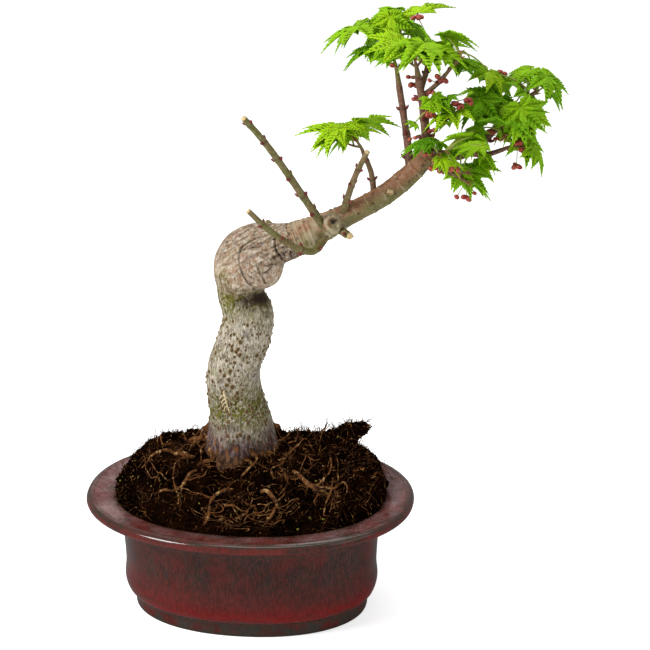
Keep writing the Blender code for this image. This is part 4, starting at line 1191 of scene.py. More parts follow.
def make_bough():
    first, last = TRUNK_STATIONS - 1, len(WOOD_LINE) - 1
    centre, out, reach = wood_skin(first, last, BOUGH_SIDES, COLLARS)
    points = centre + reach[..., None] * out
    ahead = frames_of(centre[:, 0])[0]
    along = np.linspace(0, 1, len(centre))[:, None]
    young = np.clip((along - 0.2) / 0.25, 0, 1)
    relief = 0.28 * MM * grain(points, 6 * MM, seed=41, octaves=3) * (1 - 0.5 * young)
    relief = relief + 0.10 * MM * grain(points, 1.4 * MM, seed=42, octaves=2)
    rings = sum(hump(along + 0.006 * grain(points, 9 * MM, seed=43), at, 0.0055) for at in RINGS_AT)
    worn = rings * np.clip(0.3 + 1.4 * grain(points, 3 * MM, seed=53), 0, 1)
    wrinkles = np.clip(1 - along / 0.2, 0, 1) * np.sin(along * 420 + 3 * grain(points, 7 * MM, seed=44))
    relief = relief + 0.38 * MM * rings + 0.16 * MM * wrinkles
    flat = seen_from_front(points, HOLE_MIDDLE)
    front = np.clip(-(out @ VIEW_AHEAD) * 3, 0, 1)
    away = np.linalg.norm(flat * np.array([1.0, 0.85]), axis=-1)
    away = away * (1 + 0.45 * grain(points, 2.2 * MM, seed=45, octaves=2))
    hole = np.clip(1.25 - away / HOLE_SIZE, 0, 1) * front
    rolled = hump(away, 1.45 * HOLE_SIZE, 0.9 * MM) * front
    relief = relief + 0.7 * MM * rolled * (1 + grain(points, 1.6 * MM, seed=48)) - 1.8 * MM * hole
    torn = np.clip(3 * np.abs(grain(points, 1.6 * MM, seed=49, octaves=2)) - 0.3, 0, 1)
    torn = np.clip(1 - along / 0.06, 0, 1) * torn
    relief = relief - 0.6 * MM * torn
    pores = scatter_pores(points, random.Random(6), 90, 4.0 * MM)
    pore = pore_mask(points, ahead, pores, long=1.2) * 0.7
    reach = reach + relief + 0.22 * MM * pore
    points = centre + reach[..., None] * out
    sunny = np.clip(0.5 + 0.6 * out[..., 2] + 0.25 * grain(points, 8 * MM, seed=46), 0, 1)
    peeled = 0.8 * (1 - young) * (0.5 + 0.9 * grain(points, 4 * MM, seed=47, octaves=2))
    marks = {
        "sunny": sunny,
        "ruddy": 0.15 * young * np.ones_like(sunny),
        "ring": np.clip(pore, 0, 1),
        # the hole and torn bark: partly rot, partly painted shade in the recesses
        "scar_and_shade": np.clip(hole * (1.1 + grain(points, 1.2 * MM, seed=50)) + 0.8 * torn, 0, 1),
        "pale": np.clip(peeled + 0.4 * worn + 0.7 * rolled, 0, 1),
        "cut": np.zeros_like(sunny),
    }
    marks = {key: np.append(np.ravel(value), [0, 0]) for key, value in marks.items()}
    total = np.concatenate([points.reshape(-1, 3), centre[0], centre[-1]])
    return piece("long_bough", total, sleeve(len(centre), BOUGH_SIDES), young_bark, **marks)


bough = make_bough()
settle(bough, "young_bark", "main_bough")

# %% Cut stubs on the bough
def make_cut_wood():
    """A cut end: cream wood with a browner rim and a dark middle."""
    material, _, shader, place = bare_finish("cut_wood", Specular_IOR_Level=0.2, Roughness=0.7)
    base = tinted(patches(place, 1.6 * MM, 0.48, 0.08), (0.56, 0.42, 0.22), (0.26, 0.16, 0.075))
    base = over(base, (0.09, 0.045, 0.020), patches(place, 0.8 * MM, 0.60, 0.05))
    coat_with(shader, base, height=patches(place, 0.7 * MM, output="Cloud"), depth=0.3 * MM)
    return material


STUBS = [  # right and up of the knot, as seen from the front, and radius, in mm
    (23.4, -7.6, 2.6), (24.8, 0.4, 1.8), (29.6, 16.0, 1.7), (45.6, 22.6, 2.0), (38.0, 5.6, 1.5),
]
STUB_RUN = np.linspace(-0.8, 1.0, 5)[:, None] * MM  # from under the bark out to the cut
STUB_TAPER = np.array([1.25, 1.15, 1.05, 1.0, 0.85])
cut_wood = make_cut_wood()
bough_skin = skin_tree(bough)
stub_lines = []
for right, up, radius in STUBS:
    place, normal = meeting(bough_skin, HOLE_MIDDLE, right, up)
    if place is not None:
        stub_lines.append((np.array(place) + STUB_RUN * np.array(normal), radius * MM * STUB_TAPER))
stubs = tubes("cut_stubs", stub_lines, 11, cut_wood)
settle(stubs, "young_bark", "main_bough")

# %% [markdown]
# ## Limbs and pruned twigs
# Every limb is a tube along its own stations, made finer than its solid. A maple's twig swells at each
# node, where a dark ring and a pair of buds sit, and a pruned one ends in a pale cut. Limbs that carry
# leaves are plum red, and the pruned ones are olive.

# %% Stations of the limbs
LIMBS = {
    "bough_left_upright": [
        (84.6, 11.0, 243.0, 2.3), (82.4, 18.4, 260.0, 2.0), (80.3, 20.6, 272.2, 1.8),
        (77.2, 24.2, 288.5, 1.7),
    ],
    "bough_centre_upright": [
        (95.2, 9.4, 256.0, 2.7), (92.5, 5.7, 268.0, 2.4), (90.7, 3.5, 283.6, 2.1),
        (88.1, 1.2, 298.9, 1.8),
    ],
    "bough_right": [
        (94.0, 9.6, 257.2, 2.6), (102.7, 10.8, 256.0, 2.4), (110.8, 13.7, 255.6, 2.3),
        (121.8, 16.8, 262.9, 2.1), (131.2, 19.8, 272.4, 1.9), (140.1, 22.8, 281.0, 1.6),
    ],
    "bough_top_back": [(89.6, 3.0, 291.0, 1.5), (92.0, 13.0, 301.0, 1.3), (93.0, 19.0, 312.0, 1.1)],
    "bough_top_side": [(91.2, 4.2, 288.5, 1.4), (97.7, 1.2, 295.0, 1.2), (102.0, -1.4, 300.5, 1.1)],
    "bough_inner": [(91.0, 4.0, 279.0, 1.4), (95.5, 0.0, 282.6, 1.2)],
    "bough_right_front": [(123.5, 17.2, 264.6, 1.5), (128.0, 11.6, 269.5, 1.2)],
    "bough_right_back": [(132.0, 20.2, 273.2, 1.5), (129.0, 30.0, 281.5, 1.3), (126.5, 36.0, 285.5, 1.2)],
    "bough_right_low": [(112.5, 14.1, 256.4, 1.6), (123.2, 11.1, 256.8, 1.4), (131.5, 9.1, 260.0, 1.2)],
    "bough_low": [(93.0, 9.0, 254.6, 1.8), (102.0, 4.8, 250.0, 1.4), (106.4, 2.3, 248.4, 1.2)],
    "bough_front": [(94.6, 8.4, 257.4, 1.7), (96.8, 0.6, 259.8, 1.4), (98.4, -8.0, 262.0, 1.2)],
    "twig_tuft": [(66.4, 6.0, 232.0, 1.7), (64.6, 7.2, 246.0, 1.4), (60.8, 4.8, 257.0, 1.2)],
    "pruned_twig_long": [
        (40.6, -2.0, 219.5, 2.2), (31.1, -12.8, 239.0, 1.95), (16.0, -26.5, 267.0, 1.7),
        (4.9, -35.7, 284.0, 1.5),
    ],
    "pruned_twig_curved": [
        (41.5, -1.0, 213.2, 2.2), (36.6, -15.6, 210.2, 1.9), (26.5, -23.4, 215.6, 1.7),
        (14.3, -27.7, 225.8, 1.5), (5.5, -29.6, 235.1, 1.35),
    ],
    "pruned_twig_short": [(49.8, 0.5, 224.0, 1.9), (56.8, -8.1, 246.6, 1.55), (64.3, -15.4, 263.4, 1.35)],
    "pruned_stub_back": [(20.5, 6.0, 209.5, 1.9), (8.3, 19.0, 214.6, 1.6)],
    "pruned_stub_front": [(46.0, 0.5, 219.0, 2.5), (55.4, -9.2, 216.8, 1.7)],
}
LIMB_STEPS = 2

# %% The limbs' skin
LIMB_SIDES = 18
LIMB_ROWS = 9  # rows of points for each step of the line
NODE_EVERY = 13 * MM
PRUNED = [name for name in LIMBS if name.startswith("pruned")]
RUDDY = {"pruned_twig_long": 0.05, "pruned_twig_curved": 0.15, "pruned_twig_short": 0.35, "twig_tuft": 0.65}


def limb_line(name):
    line = smooth_line(metres(LIMBS[name]), LIMB_STEPS)
    return [Vector(station[:3]) for station in line], [station[3] for station in line]


def make_limb(name):
    """A limb's skin, and the places of its nodes with their directions, for the buds."""
    line = np.array(smooth_line(metres(LIMBS[name]), LIMB_STEPS * LIMB_ROWS))
    centre, radius = line[:, :3], line[:, 3]
    ahead, side, other = frames_of(centre)
    angle = TURN * np.arange(LIMB_SIDES) / LIMB_SIDES
    out = np.cos(angle)[None, :, None] * side[:, None] + np.sin(angle)[None, :, None] * other[:, None]
    run = np.concatenate([[0], np.cumsum(np.linalg.norm(np.diff(centre, axis=0), axis=1))])
    seed = sorted(LIMBS).index(name)
    nodes = np.arange(NODE_EVERY * 0.8, run[-1] - 3 * MM, NODE_EVERY * (0.85 + 0.04 * (seed % 5)))
    swell = sum((hump(run, at, 1.3 * MM) for at in nodes), np.zeros_like(run))
    rings = sum((hump(run, at + 0.5 * MM, 0.35 * MM) for at in nodes), np.zeros_like(run))
    reach = radius[:, None] * (1 + 0.16 * swell[:, None])
    reach = reach + 0.08 * MM * grain(centre[:, None] + out * 3 * MM, 4 * MM, seed)
    reach = reach - 0.10 * MM * rings[:, None]
    points = centre[:, None] + out * reach[..., None]
    cut = (run > run[-1] - 0.5 * MM) * (name in PRUNED) * 1.0
    ends = np.array([centre[0] - 1e-5 * ahead[0], centre[-1] + 0.3 * MM * ahead[-1]])
    ruddy = RUDDY.get(name, 0.30 if name in PRUNED else 0.9)
    wide = np.ones((1, LIMB_SIDES))
    marks = {
        "ruddy": np.clip(ruddy + 0.35 * grain(points, 9 * MM, seed=51), 0, 1),
        "sunny": np.clip((0.1 if name in PRUNED else 0.4) + 0.3 * out[..., 2], 0, 1),
        "ring": 0.75 * rings[:, None] * wide,
        "pale": 0.25 * hump(run, 0, 3 * MM)[:, None] * wide,
        "scar_and_shade": np.zeros(points.shape[:2]),
        "cut": cut[:, None] * wide,
    }
    marks = {key: np.append(value.ravel(), [value[0, 0], value[-1, 0]]) for key, value in marks.items()}
    total = np.concatenate([points.reshape(-1, 3), ends])
    made = piece("limb_" + name, total, sleeve(len(centre), LIMB_SIDES), young_bark, **marks)
    spots = []
    for k, at in enumerate(nodes):
        row = int(np.searchsorted(run, at))
        for half in (0, 1):
            turn = math.pi * half + (k % 2) * math.pi / 2 + seed
            direction = math.cos(turn) * side[row] + math.sin(turn) * other[row]
            foot = centre[row] + direction * radius[row] * 0.9
            spots.append((foot, 0.7 * direction + 0.7 * ahead[row], radius[row]))
    return made, spots


bud_spots = []
for name in LIMBS:
    limb, spots = make_limb(name)
    settle(limb, "young_bark", name)
    bud_spots += spots

# %% [markdown]
# ## Buds
# Buds sit in opposite pairs at the nodes: small pointed eggs, dark red. One bud is modelled, and a tree of
# nodes puts a copy at each place, turned to the direction and scaled to the size that each point carries.

# %% A tree that sets copies in place
def setting_tree():
    tree, given, result = growing_tree("settings", Form="Object")
    form = add(tree, "GeometryNodeObjectInfo", {"Object": given["Form"]}).outputs["Geometry"]
    turn, size = (
        add(tree, "GeometryNodeInputNamedAttribute", {"Name": name}, data_type="FLOAT_VECTOR").outputs[0]
        for name in ("turn", "size")
    )
    spots = add(tree, "GeometryNodeMeshToPoints", {"Mesh": given["Geometry"]}).outputs[0]
    return end_with(tree, real_copies(tree, spots, form, turn, size), given, result)


SETTINGS = setting_tree()


def set_copies(name, form, spots, finish):
    """A copy of a form at each (place, direction, size): its Z axis points along the direction."""
    mesh = bpy.data.meshes.new(name)
    mesh.from_pydata([tuple(place) for place, _, _ in spots], [], [])
    turns = [Vector(direction).to_track_quat("Z", "Y").to_euler() for _, direction, _ in spots]
    sizes = [(size,) * 3 if np.isscalar(size) else tuple(size) for _, _, size in spots]
    for key, vectors in (("turn", turns), ("size", sizes)):
        mesh.attributes.new(key, "FLOAT_VECTOR", "POINT").data.foreach_set("vector", np.ravel(vectors))
    made = grow_with(SETTINGS, name, mesh, Form=form, Finish=finish)
    for key in ("turn", "size"):
        if key in made.data.attributes:
            made.data.attributes.remove(made.data.attributes[key])
    return made


def turned_form(name, profile, sides, bend=0.0):
    """A form turned about Z from (radius, height) pairs, leaning over towards its tip."""
    angle = TURN * np.arange(sides) / sides
    rows = [[(r * math.cos(a) + bend * z * z, r * math.sin(a), z) for a in angle] for r, z in profile[1:-1]]
    points = [point for row in rows for point in row]
    points += [(0, 0, profile[0][1]), (bend * profile[-1][1] ** 2, 0, profile[-1][1])]
    return piece(name, points, sleeve(len(rows), sides), None)


# %% Bud finishes, and the buds
def make_speckled(name, base, other, size, roughness, share=0.5):
    """A plain colour clouded with another."""
    material, _, shader, place = bare_finish(name, Roughness=roughness)
    cloud = patches(place, size, share, 0.12)
    coat_with(shader, tinted(cloud, base, other), height=cloud, depth=0.05 * MM)
    return material


bud_red = make_speckled("bud_red", (0.120, 0.014, 0.018), (0.230, 0.035, 0.030), 1.2 * MM, 0.45)
BUD = [(0, -0.3), (0.75, 0.0), (0.95, 0.7), (0.8, 1.5), (0.42, 2.3), (0, 2.9)]
bud_form = turned_form("bud_form", BUD, 7, bend=-0.03)
bud_spots = [(place, ahead, 0.55 * max(radius, 1.5 * MM)) for place, ahead, radius in bud_spots]
buds = set_copies("buds", bud_form, bud_spots, bud_red)
settle(buds, "young_bark", *LIMBS)

# %% [markdown]
# ## Growing the foliage again
# A maple sets its leaves and twigs in opposite pairs. The solids were grown by that rule from fixed seeds,
# so growing them again with the same numbers puts every twig where its plain solid is. Each mass keeps to a
# space of its own: a leaf that would leave it, touch a limb or cross another leaf is tried again, smaller,
# and then left out.

# %% The spaces of the foliage
FOLIAGE = {  # the spaces' middles and reaches and the lengths of stems, leaves and stalks are in mm
    "foliage_tuft": ("twig_tuft", (52, 6, 265), (36, 34, 20), 8, 29, 11, 0, 82),
    "foliage_top_left": ("bough_left_upright", (64, 35, 316), (43, 38, 28), 17, 25, 14, 1, 440),
    "foliage_top_middle": ("bough_centre_upright", (86, -14, 310), (38, 34, 25), 9, 27, 13, 1, 211),
    "foliage_top_back": ("bough_top_back", (103, 30, 326), (30, 34, 24), 8, 23, 11, 1, 283),
    "foliage_top_side": ("bough_top_side", (117, 4, 312), (32, 34, 26), 12, 25, 12, 1, 137),
    "foliage_inner": ("bough_inner", (104, -18, 286), (25, 24, 15), 7, 17, 9, 2, 50),
    "foliage_outer": ("bough_right", (150, 32, 284), (27, 34, 25), 10, 23, 11, 1, 265),
    "foliage_right": ("bough_right_front", (134, -6, 276), (33, 34, 23), 10, 25, 12, 1, 283),
    "foliage_right_back": ("bough_right_back", (122, 52, 288), (32, 34, 25), 12, 23, 12, 0, 17),
    "foliage_front": ("bough_front", (100, -28, 261), (30, 30, 19), 9, 22, 10, 2, 10),
    "foliage_low": ("bough_low", (114, 0, 242), (30, 32, 22), 9, 22, 10, 2, 98),
    "foliage_right_low": ("bough_right_low", (147, 8, 252), (26, 30, 22), 9, 25, 10, 2, 250),
}
SPRAY_KEYS = ("limb", "centre", "reach", "stem", "leaf", "petiole", "berries", "seed")
FOLIAGE = {mass: dict(zip(SPRAY_KEYS, row)) for mass, row in FOLIAGE.items()}
LOBES = [(-118, 0.42), (-78, 0.76), (-38, 0.94), (0, 1.0), (38, 0.94), (78, 0.76), (118, 0.42)]
LOBE_HALF_WIDTH = 0.14  # share of the leaf's length
SHOULDER_AT = 0.56  # where along a lobe it is widest
SINUS_AT = 0.40  # depth of the notch between lobes, as a share of the leaf's length
LEAF_DROOP = 0.30
STEM_RADIUS = 0.95 * MM
BERRY_RADIUS = 2.0 * MM
BERRIES = 2  # in a cluster
BERRY_SPREAD = 0.75  # how far they sit from the middle of their cluster, in radii
BERRY_RIM = [(0, 0, -1), (1, 0, 0), (0, 1, 0), (-1, 0, 0), (0, -1, 0)]  # sides on which one needs room
TWIG_LEVELS = 1  # times that side twigs branch off
LEAF_TRIES = 80
LEAF_SHRINK = 0.45  # a leaf that finds no room grows smaller at each try, down by this share
TWIG_TRIES = 12
SPACE_MARGIN = 0.035  # clear band between two masses, in shares of their reach
LIMB_MARGIN = 1.2 * MM


# %% Where a leaf finds room
def capsules(limbs):
    """Limbs as rows of straight pieces: their starts, runs and radii, for distance checks."""
    starts, runs, radii = [], [], []
    for points, thickness in limbs:
        for a, b, r in zip(points, points[1:], thickness):
            starts.append(a)
            runs.append(b - a)
            radii.append(r)
    return np.array(starts), np.array(runs), np.array(radii)


def all_wood():
    line = smooth_line(metres(WOOD_LINE), LIMB_STEPS)
    trunk = [Vector(station[:3]) for station in line], [station[3] for station in line]
    return capsules([trunk] + [limb_line(name) for name in LIMBS])


def mass_root(mass):
    points, _ = limb_line(FOLIAGE[mass]["limb"])
    return points[-1], (points[-1] - points[-2]).normalized()


def fits(mass, samples, wood):
    """Whether points keep to their mass's space and stay clear of the wood.

    A point is in the space of the mass whose centre is nearest, counted in shares of that mass's reach.
    """
    points = np.array(samples)
    shares = {}
    for name, spec in FOLIAGE.items():
        shares[name] = np.linalg.norm((points / MM - spec["centre"]) / spec["reach"], axis=1)
    own = shares.pop(mass)
    if own.max() > 1.0 or (np.min(list(shares.values()), axis=0) < own + SPACE_MARGIN).any():
        return False
    starts, runs, radii = wood
    offsets = points[:, None, :] - starts
    along = np.clip((offsets * runs).sum(-1) / (runs * runs).sum(-1), 0.0, 1.0)
    away = np.linalg.norm(offsets - along[..., None] * runs, axis=-1) - radii
    return away.min() > LIMB_MARGIN


# %% A plain leaf, as the solids have it
def leaf_points(length):
    """Outline of a leaf as (forward, sideways, drop), from its stalk round its lobes, then the hub."""
    outline = [(-0.05 * length, 0.0)]
    last = len(LOBES) - 1
    for i, (angle, share) in enumerate(LOBES):
        a, tip = math.radians(angle), share * length
        for side in (-1, 0, 1) if 0 < i < last else (0,):
            along = tip if side == 0 else SHOULDER_AT * tip
            across = side * LOBE_HALF_WIDTH * length
            x, y = along * math.cos(a) - across * math.sin(a), along * math.sin(a) + across * math.cos(a)
            outline.append((x, y))
        if i < last:
            middle = math.radians((angle + LOBES[i + 1][0]) / 2)
            notch = SINUS_AT * length * math.sqrt(share * LOBES[i + 1][1])
            outline.append((notch * math.cos(middle), notch * math.sin(middle)))
    outline.append((0.05 * length, 0.0))
    return [(x, y, LEAF_DROOP * length * ((x * x + y * y) / length**2) ** 0.9) for x, y in outline]


def heading_of(azimuth, rise):
    return Vector((math.cos(azimuth) * math.cos(rise), math.sin(azimuth) * math.cos(rise), math.sin(rise)))


def leaf_axes(leaf):
    """Directions forward along the leaf's middle lobe, pitched down and rolled, sideways and out of it."""
    forward = heading_of(leaf["azimuth"], -leaf["pitch"])
    level = Vector((0, 0, 1)).cross(forward).normalized()
    side = level * math.cos(leaf["roll"]) + forward.cross(level) * math.sin(leaf["roll"])
    return forward, side, forward.cross(side)


def leaf_world(leaf):
    """The leaf's outline and hub in place."""
    forward, side, normal = leaf_axes(leaf)
    flat = leaf_points(leaf["length"])
    return [leaf["hub"] + forward * x + side * y - normal * drop for x, y, drop in flat]


def leaf_samples(leaf):
    *outline, hub = leaf_world(leaf)
    middles = [(a + b) / 2 for a, b in zip(outline, outline[1:] + outline[:1])]
    return outline + middles + [p.lerp(hub, t) for p in outline for t in (0.3, 0.6)]


def leaf_tree(leaf):
    """The leaf's blade and stalk as a search tree, which finds whether another leaf would cross it."""
    points = leaf_world(leaf)
    count = len(points) - 1
    faces = [(count, i, (i + 1) % count) for i in range(count)] + [(count + 1, count + 2, count)]
    return BVHTree.FromPolygons(points + [leaf["foot"], leaf["foot"].lerp(leaf["hub"], 0.5)], faces)


# %% The rule of growth
def turned(heading, angle, tilt):
    """A direction tilted away from a heading, towards an angle round it."""
    side = heading.cross(Vector((0, 0, 1)))
    side = side.normalized() if side.length > 0.05 else Vector((1, 0, 0))
    out = side * math.cos(angle) + heading.cross(side) * math.sin(angle)
    return (heading * math.cos(tilt) + out * math.sin(tilt)).normalized()


def grow_twig(mass, start, heading, length, level, chance, wood, grown):
    """The maple's rule, which each side twig repeats at a smaller size.

    A twig bends towards the middle of its space, and ends in a pair of leaves on opposite sides. Twigs of
    a higher level also carry a pair of side twigs half-way. Each leaf or side twig is tried a number of
    times with its own chance turns, and is left out if it fits nowhere.
    """
    spec = FOLIAGE[mass]
    lean = (Vector(spec["centre"]) * MM - start).normalized()
    middle = start + heading * length * 0.5
    end = middle + (heading + lean * 0.8).normalized() * length * 0.5
    thick = STEM_RADIUS * (1 if level else 0.75)
    grown["twigs"].append(([start, middle, end], [thick, thick * 0.9, thick * 0.75]))
    turn = chance.uniform(0, 360)
    if level:
        for half in (0, 180):
            for _ in range(TWIG_TRIES):
                angle = math.radians(turn + half + chance.uniform(-50, 50))
                side = turned(heading, angle, math.radians(chance.uniform(45, 80)))
                reach = length * chance.uniform(0.5, 0.9)
                if fits(mass, [middle + side * reach * t for t in (0.4, 0.7, 1.0)], wood):
                    grow_twig(mass, middle, side, reach, level - 1, chance, wood, grown)
                    break
    for half in (0, 180):
        for k in range(LEAF_TRIES):
            azimuth = math.radians(turn + 90 + half + chance.uniform(-60, 60))
            out = heading_of(azimuth, math.radians(chance.uniform(-10, 60)))
            room = 1 - LEAF_SHRINK * k / LEAF_TRIES
            leaf = {
                "foot": end,
                "hub": end + out * spec["petiole"] * chance.uniform(0.55, 1.25) * MM,
                "azimuth": azimuth + chance.uniform(-0.5, 0.5),
                "pitch": math.radians(chance.uniform(5, 55)),
                "roll": chance.uniform(-0.5, 0.5),
                "length": spec["leaf"] * chance.uniform(0.85, 1.15) * room * MM,
            }
            stalk = [end.lerp(leaf["hub"], t) for t in (0.35, 0.7, 1.0)]
            if fits(mass, leaf_samples(leaf) + stalk, wood):
                tree = leaf_tree(leaf)
                if not any(tree.overlap(other) for other in grown["trees"]):
                    grown["leaves"].append(leaf)
                    grown["trees"].append(tree)
                    break


def grow_berries(mass, chance, wood, grown):
    """Clusters of round buds that hang on stalks from the ends of the twigs."""
    for k in range(FOLIAGE[mass]["berries"]):
        foot = grown["twigs"][k % len(grown["twigs"])][0][-1]
        for _ in range(LEAF_TRIES):
            azimuth = chance.uniform(0, TURN)
            out = heading_of(azimuth, -math.radians(chance.uniform(0, 65)))
            knot = foot + out * chance.uniform(5, 12) * MM
            turns = [azimuth + TURN * n / BERRIES for n in range(BERRIES)]
            apart = BERRY_SPREAD * BERRY_RADIUS
            spots = [knot + Vector((math.cos(a), math.sin(a), -0.5)) * apart for a in turns]
            rims = [spot + Vector(side) * BERRY_RADIUS for spot in spots for side in BERRY_RIM]
            if fits(mass, spots + rims + [foot.lerp(knot, t) for t in (0.5, 1.0)], wood):
                grown["berries"].append({"foot": foot, "knot": knot, "spots": spots})
                break


def grow_mass(mass, tip, heading, wood):
    """All of a mass: twigs, leaves and berries, from a stem that starts a gap beyond its limb's tip."""
    spec = FOLIAGE[mass]
    chance = random.Random(spec["seed"])
    grown = {"twigs": [], "leaves": [], "trees": [], "berries": []}
    grow_twig(mass, tip + heading * GAP, heading, spec["stem"] * MM, TWIG_LEVELS, chance, wood, grown)
    grow_berries(mass, chance, wood, grown)
    return grown


# %% [markdown]
# ## Leaves that show, and leaves behind them
# Seen from the front, the crown is a stack of level fans with tips that hang. These leaves are set one
# by one, as a grower wires a tree: where the lobes meet, which way the middle lobe points, its dip and roll,
# and its length. The far side is grown by the rule. Its leaves are kept where the fans hide them from the
# front, so the sky still shows between the fans as it does on the real tree.

# %% The fans of the front
SHOWN = {  # leaves of x, y, z in mm, heading, dip and roll in degrees, and length in mm
    "foliage_tuft": [
        (48, 3, 270, -112, 13, 4, 18), (51, 13, 267, -163, -11, -9, 26), (59, 16, 270, 16, -11, -38, 19),
        (55, 11, 272, -18, 17, 24, 10), (49, 5, 270, -119, 19, 26, 20), (53, 27, 265, 154, 24, 16, 22),
        (55, 30, 263, 113, 14, 0, 20),
    ],
    "foliage_top_left": [
        (56, 28, 318, -108, -1, 13, 26), (66, 31, 309, 168, 18, -1, 23), (71, 28, 323, -122, 62, 2, 22),
        (72, 26, 324, -59, 48, 11, 16), (74, 51, 322, 95, 27, 26, 14), (71, 46, 317, 151, 26, -36, 24),
        (72, 52, 323, 137, 12, -2, 15), (86, 33, 325, 92, -10, -18, 25), (62, 30, 306, -123, 3, -5, 14),
        (83, 28, 318, -15, 24, -39, 20), (55, 33, 317, 146, 18, -26, 19),
    ],
    "foliage_top_middle": [
        (79, 3, 315, -147, -4, -32, 19), (91, 4, 315, -69, 2, -7, 29), (91, -1, 312, -80, -3, -2, 26),
        (84, 14, 305, 140, -4, 13, 23), (98, 19, 310, 94, -11, -11, 20), (72, 12, 313, -92, 28, 6, 13),
    ],
    "foliage_top_side": [
        (101, 11, 317, -15, -9, -30, 18), (110, 15, 303, -26, -1, 14, 13),
        (102, 17, 304, -14, -10, -31, 15), (108, 12, 302, -56, -6, 3, 14), (114, 27, 301, 81, 35, 31, 10),
        (123, 19, 298, -85, 10, -26, 18),
    ],
    "foliage_outer": [
        (130, 31, 290, -179, 44, 37, 17), (128, 26, 295, -110, 20, -30, 11),
        (144, 30, 297, -168, 13, -14, 14), (153, 47, 283, 62, 11, 35, 17), (153, 29, 294, -85, 21, -25, 19),
        (150, 40, 295, 71, 42, -2, 10), (150, 25, 276, 22, 43, 38, 10), (137, 43, 291, 77, 44, -27, 13),
    ],
    "foliage_right": [
        (129, 16, 285, -122, 33, -41, 23), (135, 26, 270, 44, 6, -10, 17), (129, 8, 273, -39, -11, -30, 27),
        (140, 6, 283, -31, 55, 37, 21), (142, 24, 287, -72, 11, -40, 19), (118, 21, 277, 147, 20, -1, 12),
        (119, 11, 286, -96, 41, 24, 20), (133, 11, 283, -120, 24, 2, 11), (139, 8, 281, -77, 40, 21, 20),
    ],
    "foliage_right_low": [
        (142, 18, 266, -73, 28, -25, 20), (148, 17, 259, -46, 50, -31, 15),
        (137, 23, 274, -108, 16, 34, 19), (147, 12, 261, -81, 28, -39, 13),
    ],
    "foliage_front": [
        (121, -7, 266, 167, 11, 35, 16), (117, -1, 272, 64, 62, -23, 11), (116, -10, 271, 129, 24, 26, 18),
        (93, -2, 265, -156, 9, -2, 15), (98, -3, 267, -68, 3, -22, 12),
    ],
    "foliage_low": [
        (117, 11, 261, -36, 20, -30, 19), (112, 5, 249, -25, 23, 30, 17), (110, 3, 251, -144, 60, -34, 12),
        (102, -4, 259, -58, 42, 28, 9), (110, 3, 262, -109, 7, 1, 11), (119, 14, 250, -4, 3, 35, 13),
        (116, 14, 240, -14, 20, -16, 13),
    ],
    "foliage_inner": [
        (99, -6, 284, 97, -34, 0, 14), (98, -7, 291, -105, 61, 34, 9), (95, -9, 289, -29, 12, -12, 17),
        (103, -6, 290, -88, 0, 24, 10), (87, -5, 276, 118, 29, 42, 6), (107, -4, 282, -123, 5, 10, 19),
        (105, -8, 278, -179, 18, 22, 10),
    ],
}


def shown_leaf(x, y, z, heading, dip, roll, length, feet):
    hub = Vector((x, y, z)) * MM
    foot = min(feet, key=lambda point: (point - hub).length)
    return {
        "foot": foot,
        "hub": hub,
        "azimuth": math.radians(heading),
        "pitch": math.radians(dip),
        "roll": math.radians(roll),
        "length": length * MM,
    }


# %% Leaves that the fans hide
MORE_LEAVES = 8  # smaller leaves that each spray carries beyond its solid's
MORE_TRIES = 110
BACKWARDS = 96  # the heading of what grows behind, in degrees, and how far it may turn from that
BACK_SPREAD = 115
BEHIND = 5 * MM  # how far behind the front fans a leaf of the rule starts
HIDDEN = 0.8  # the least share of a leaf of the rule that the front fans hide
CAMERA_AT = (0.13512, -0.89276, 0.4913)


def behind(place, mass):
    """How far a place lies behind the middle of a mass, as seen from the front."""
    offset = place - Vector(FOLIAGE[mass]["centre"]) * MM
    return -offset.x * math.sin(VIEW_TURN) + offset.y * math.cos(VIEW_TURN)


def sight_cell(place):
    """The square of about a millimetre in which a place is seen from the front."""
    offset = np.array(place) - np.array(CAMERA_AT)
    far = offset @ VIEW_AHEAD
    return round(1000 * (offset @ VIEW_RIGHT) / far), round(1000 * (offset @ VIEW_UP) / far)


def seen_cells(leaves):
    """All the squares that these leaves cover."""
    cells, steps = set(), 9
    for leaf in leaves:
        *outline, hub = leaf_world(leaf)
        for a, b in zip(outline, outline[1:] + outline[:1]):
            for i in range(steps):
                for j in range(steps - i):
                    cells.add(sight_cell(hub + (a - hub) * (i / steps) + (b - hub) * (j / steps)))
    return cells


def twig_nodes(grown):
    """Places on a spray's twigs where leaves can leave them."""
    return [points[-1] for points, _ in grown["twigs"]] + [points[1] for points, _ in grown["twigs"]]


def finds_room(leaf, mass, trees, wood):
    """Whether a leaf fits its space, is hidden and crosses no other; if so it is kept among the trees."""
    samples = leaf_samples(leaf)
    hidden = np.mean([sight_cell(point) in front_cells for point in samples])
    if behind(leaf["hub"], mass) < BEHIND or hidden < HIDDEN or not fits(mass, samples, wood):
        return False
    tree = leaf_tree(leaf)
    if any(tree.overlap(other) for other in trees):
        return False
    trees.append(tree)
    return True


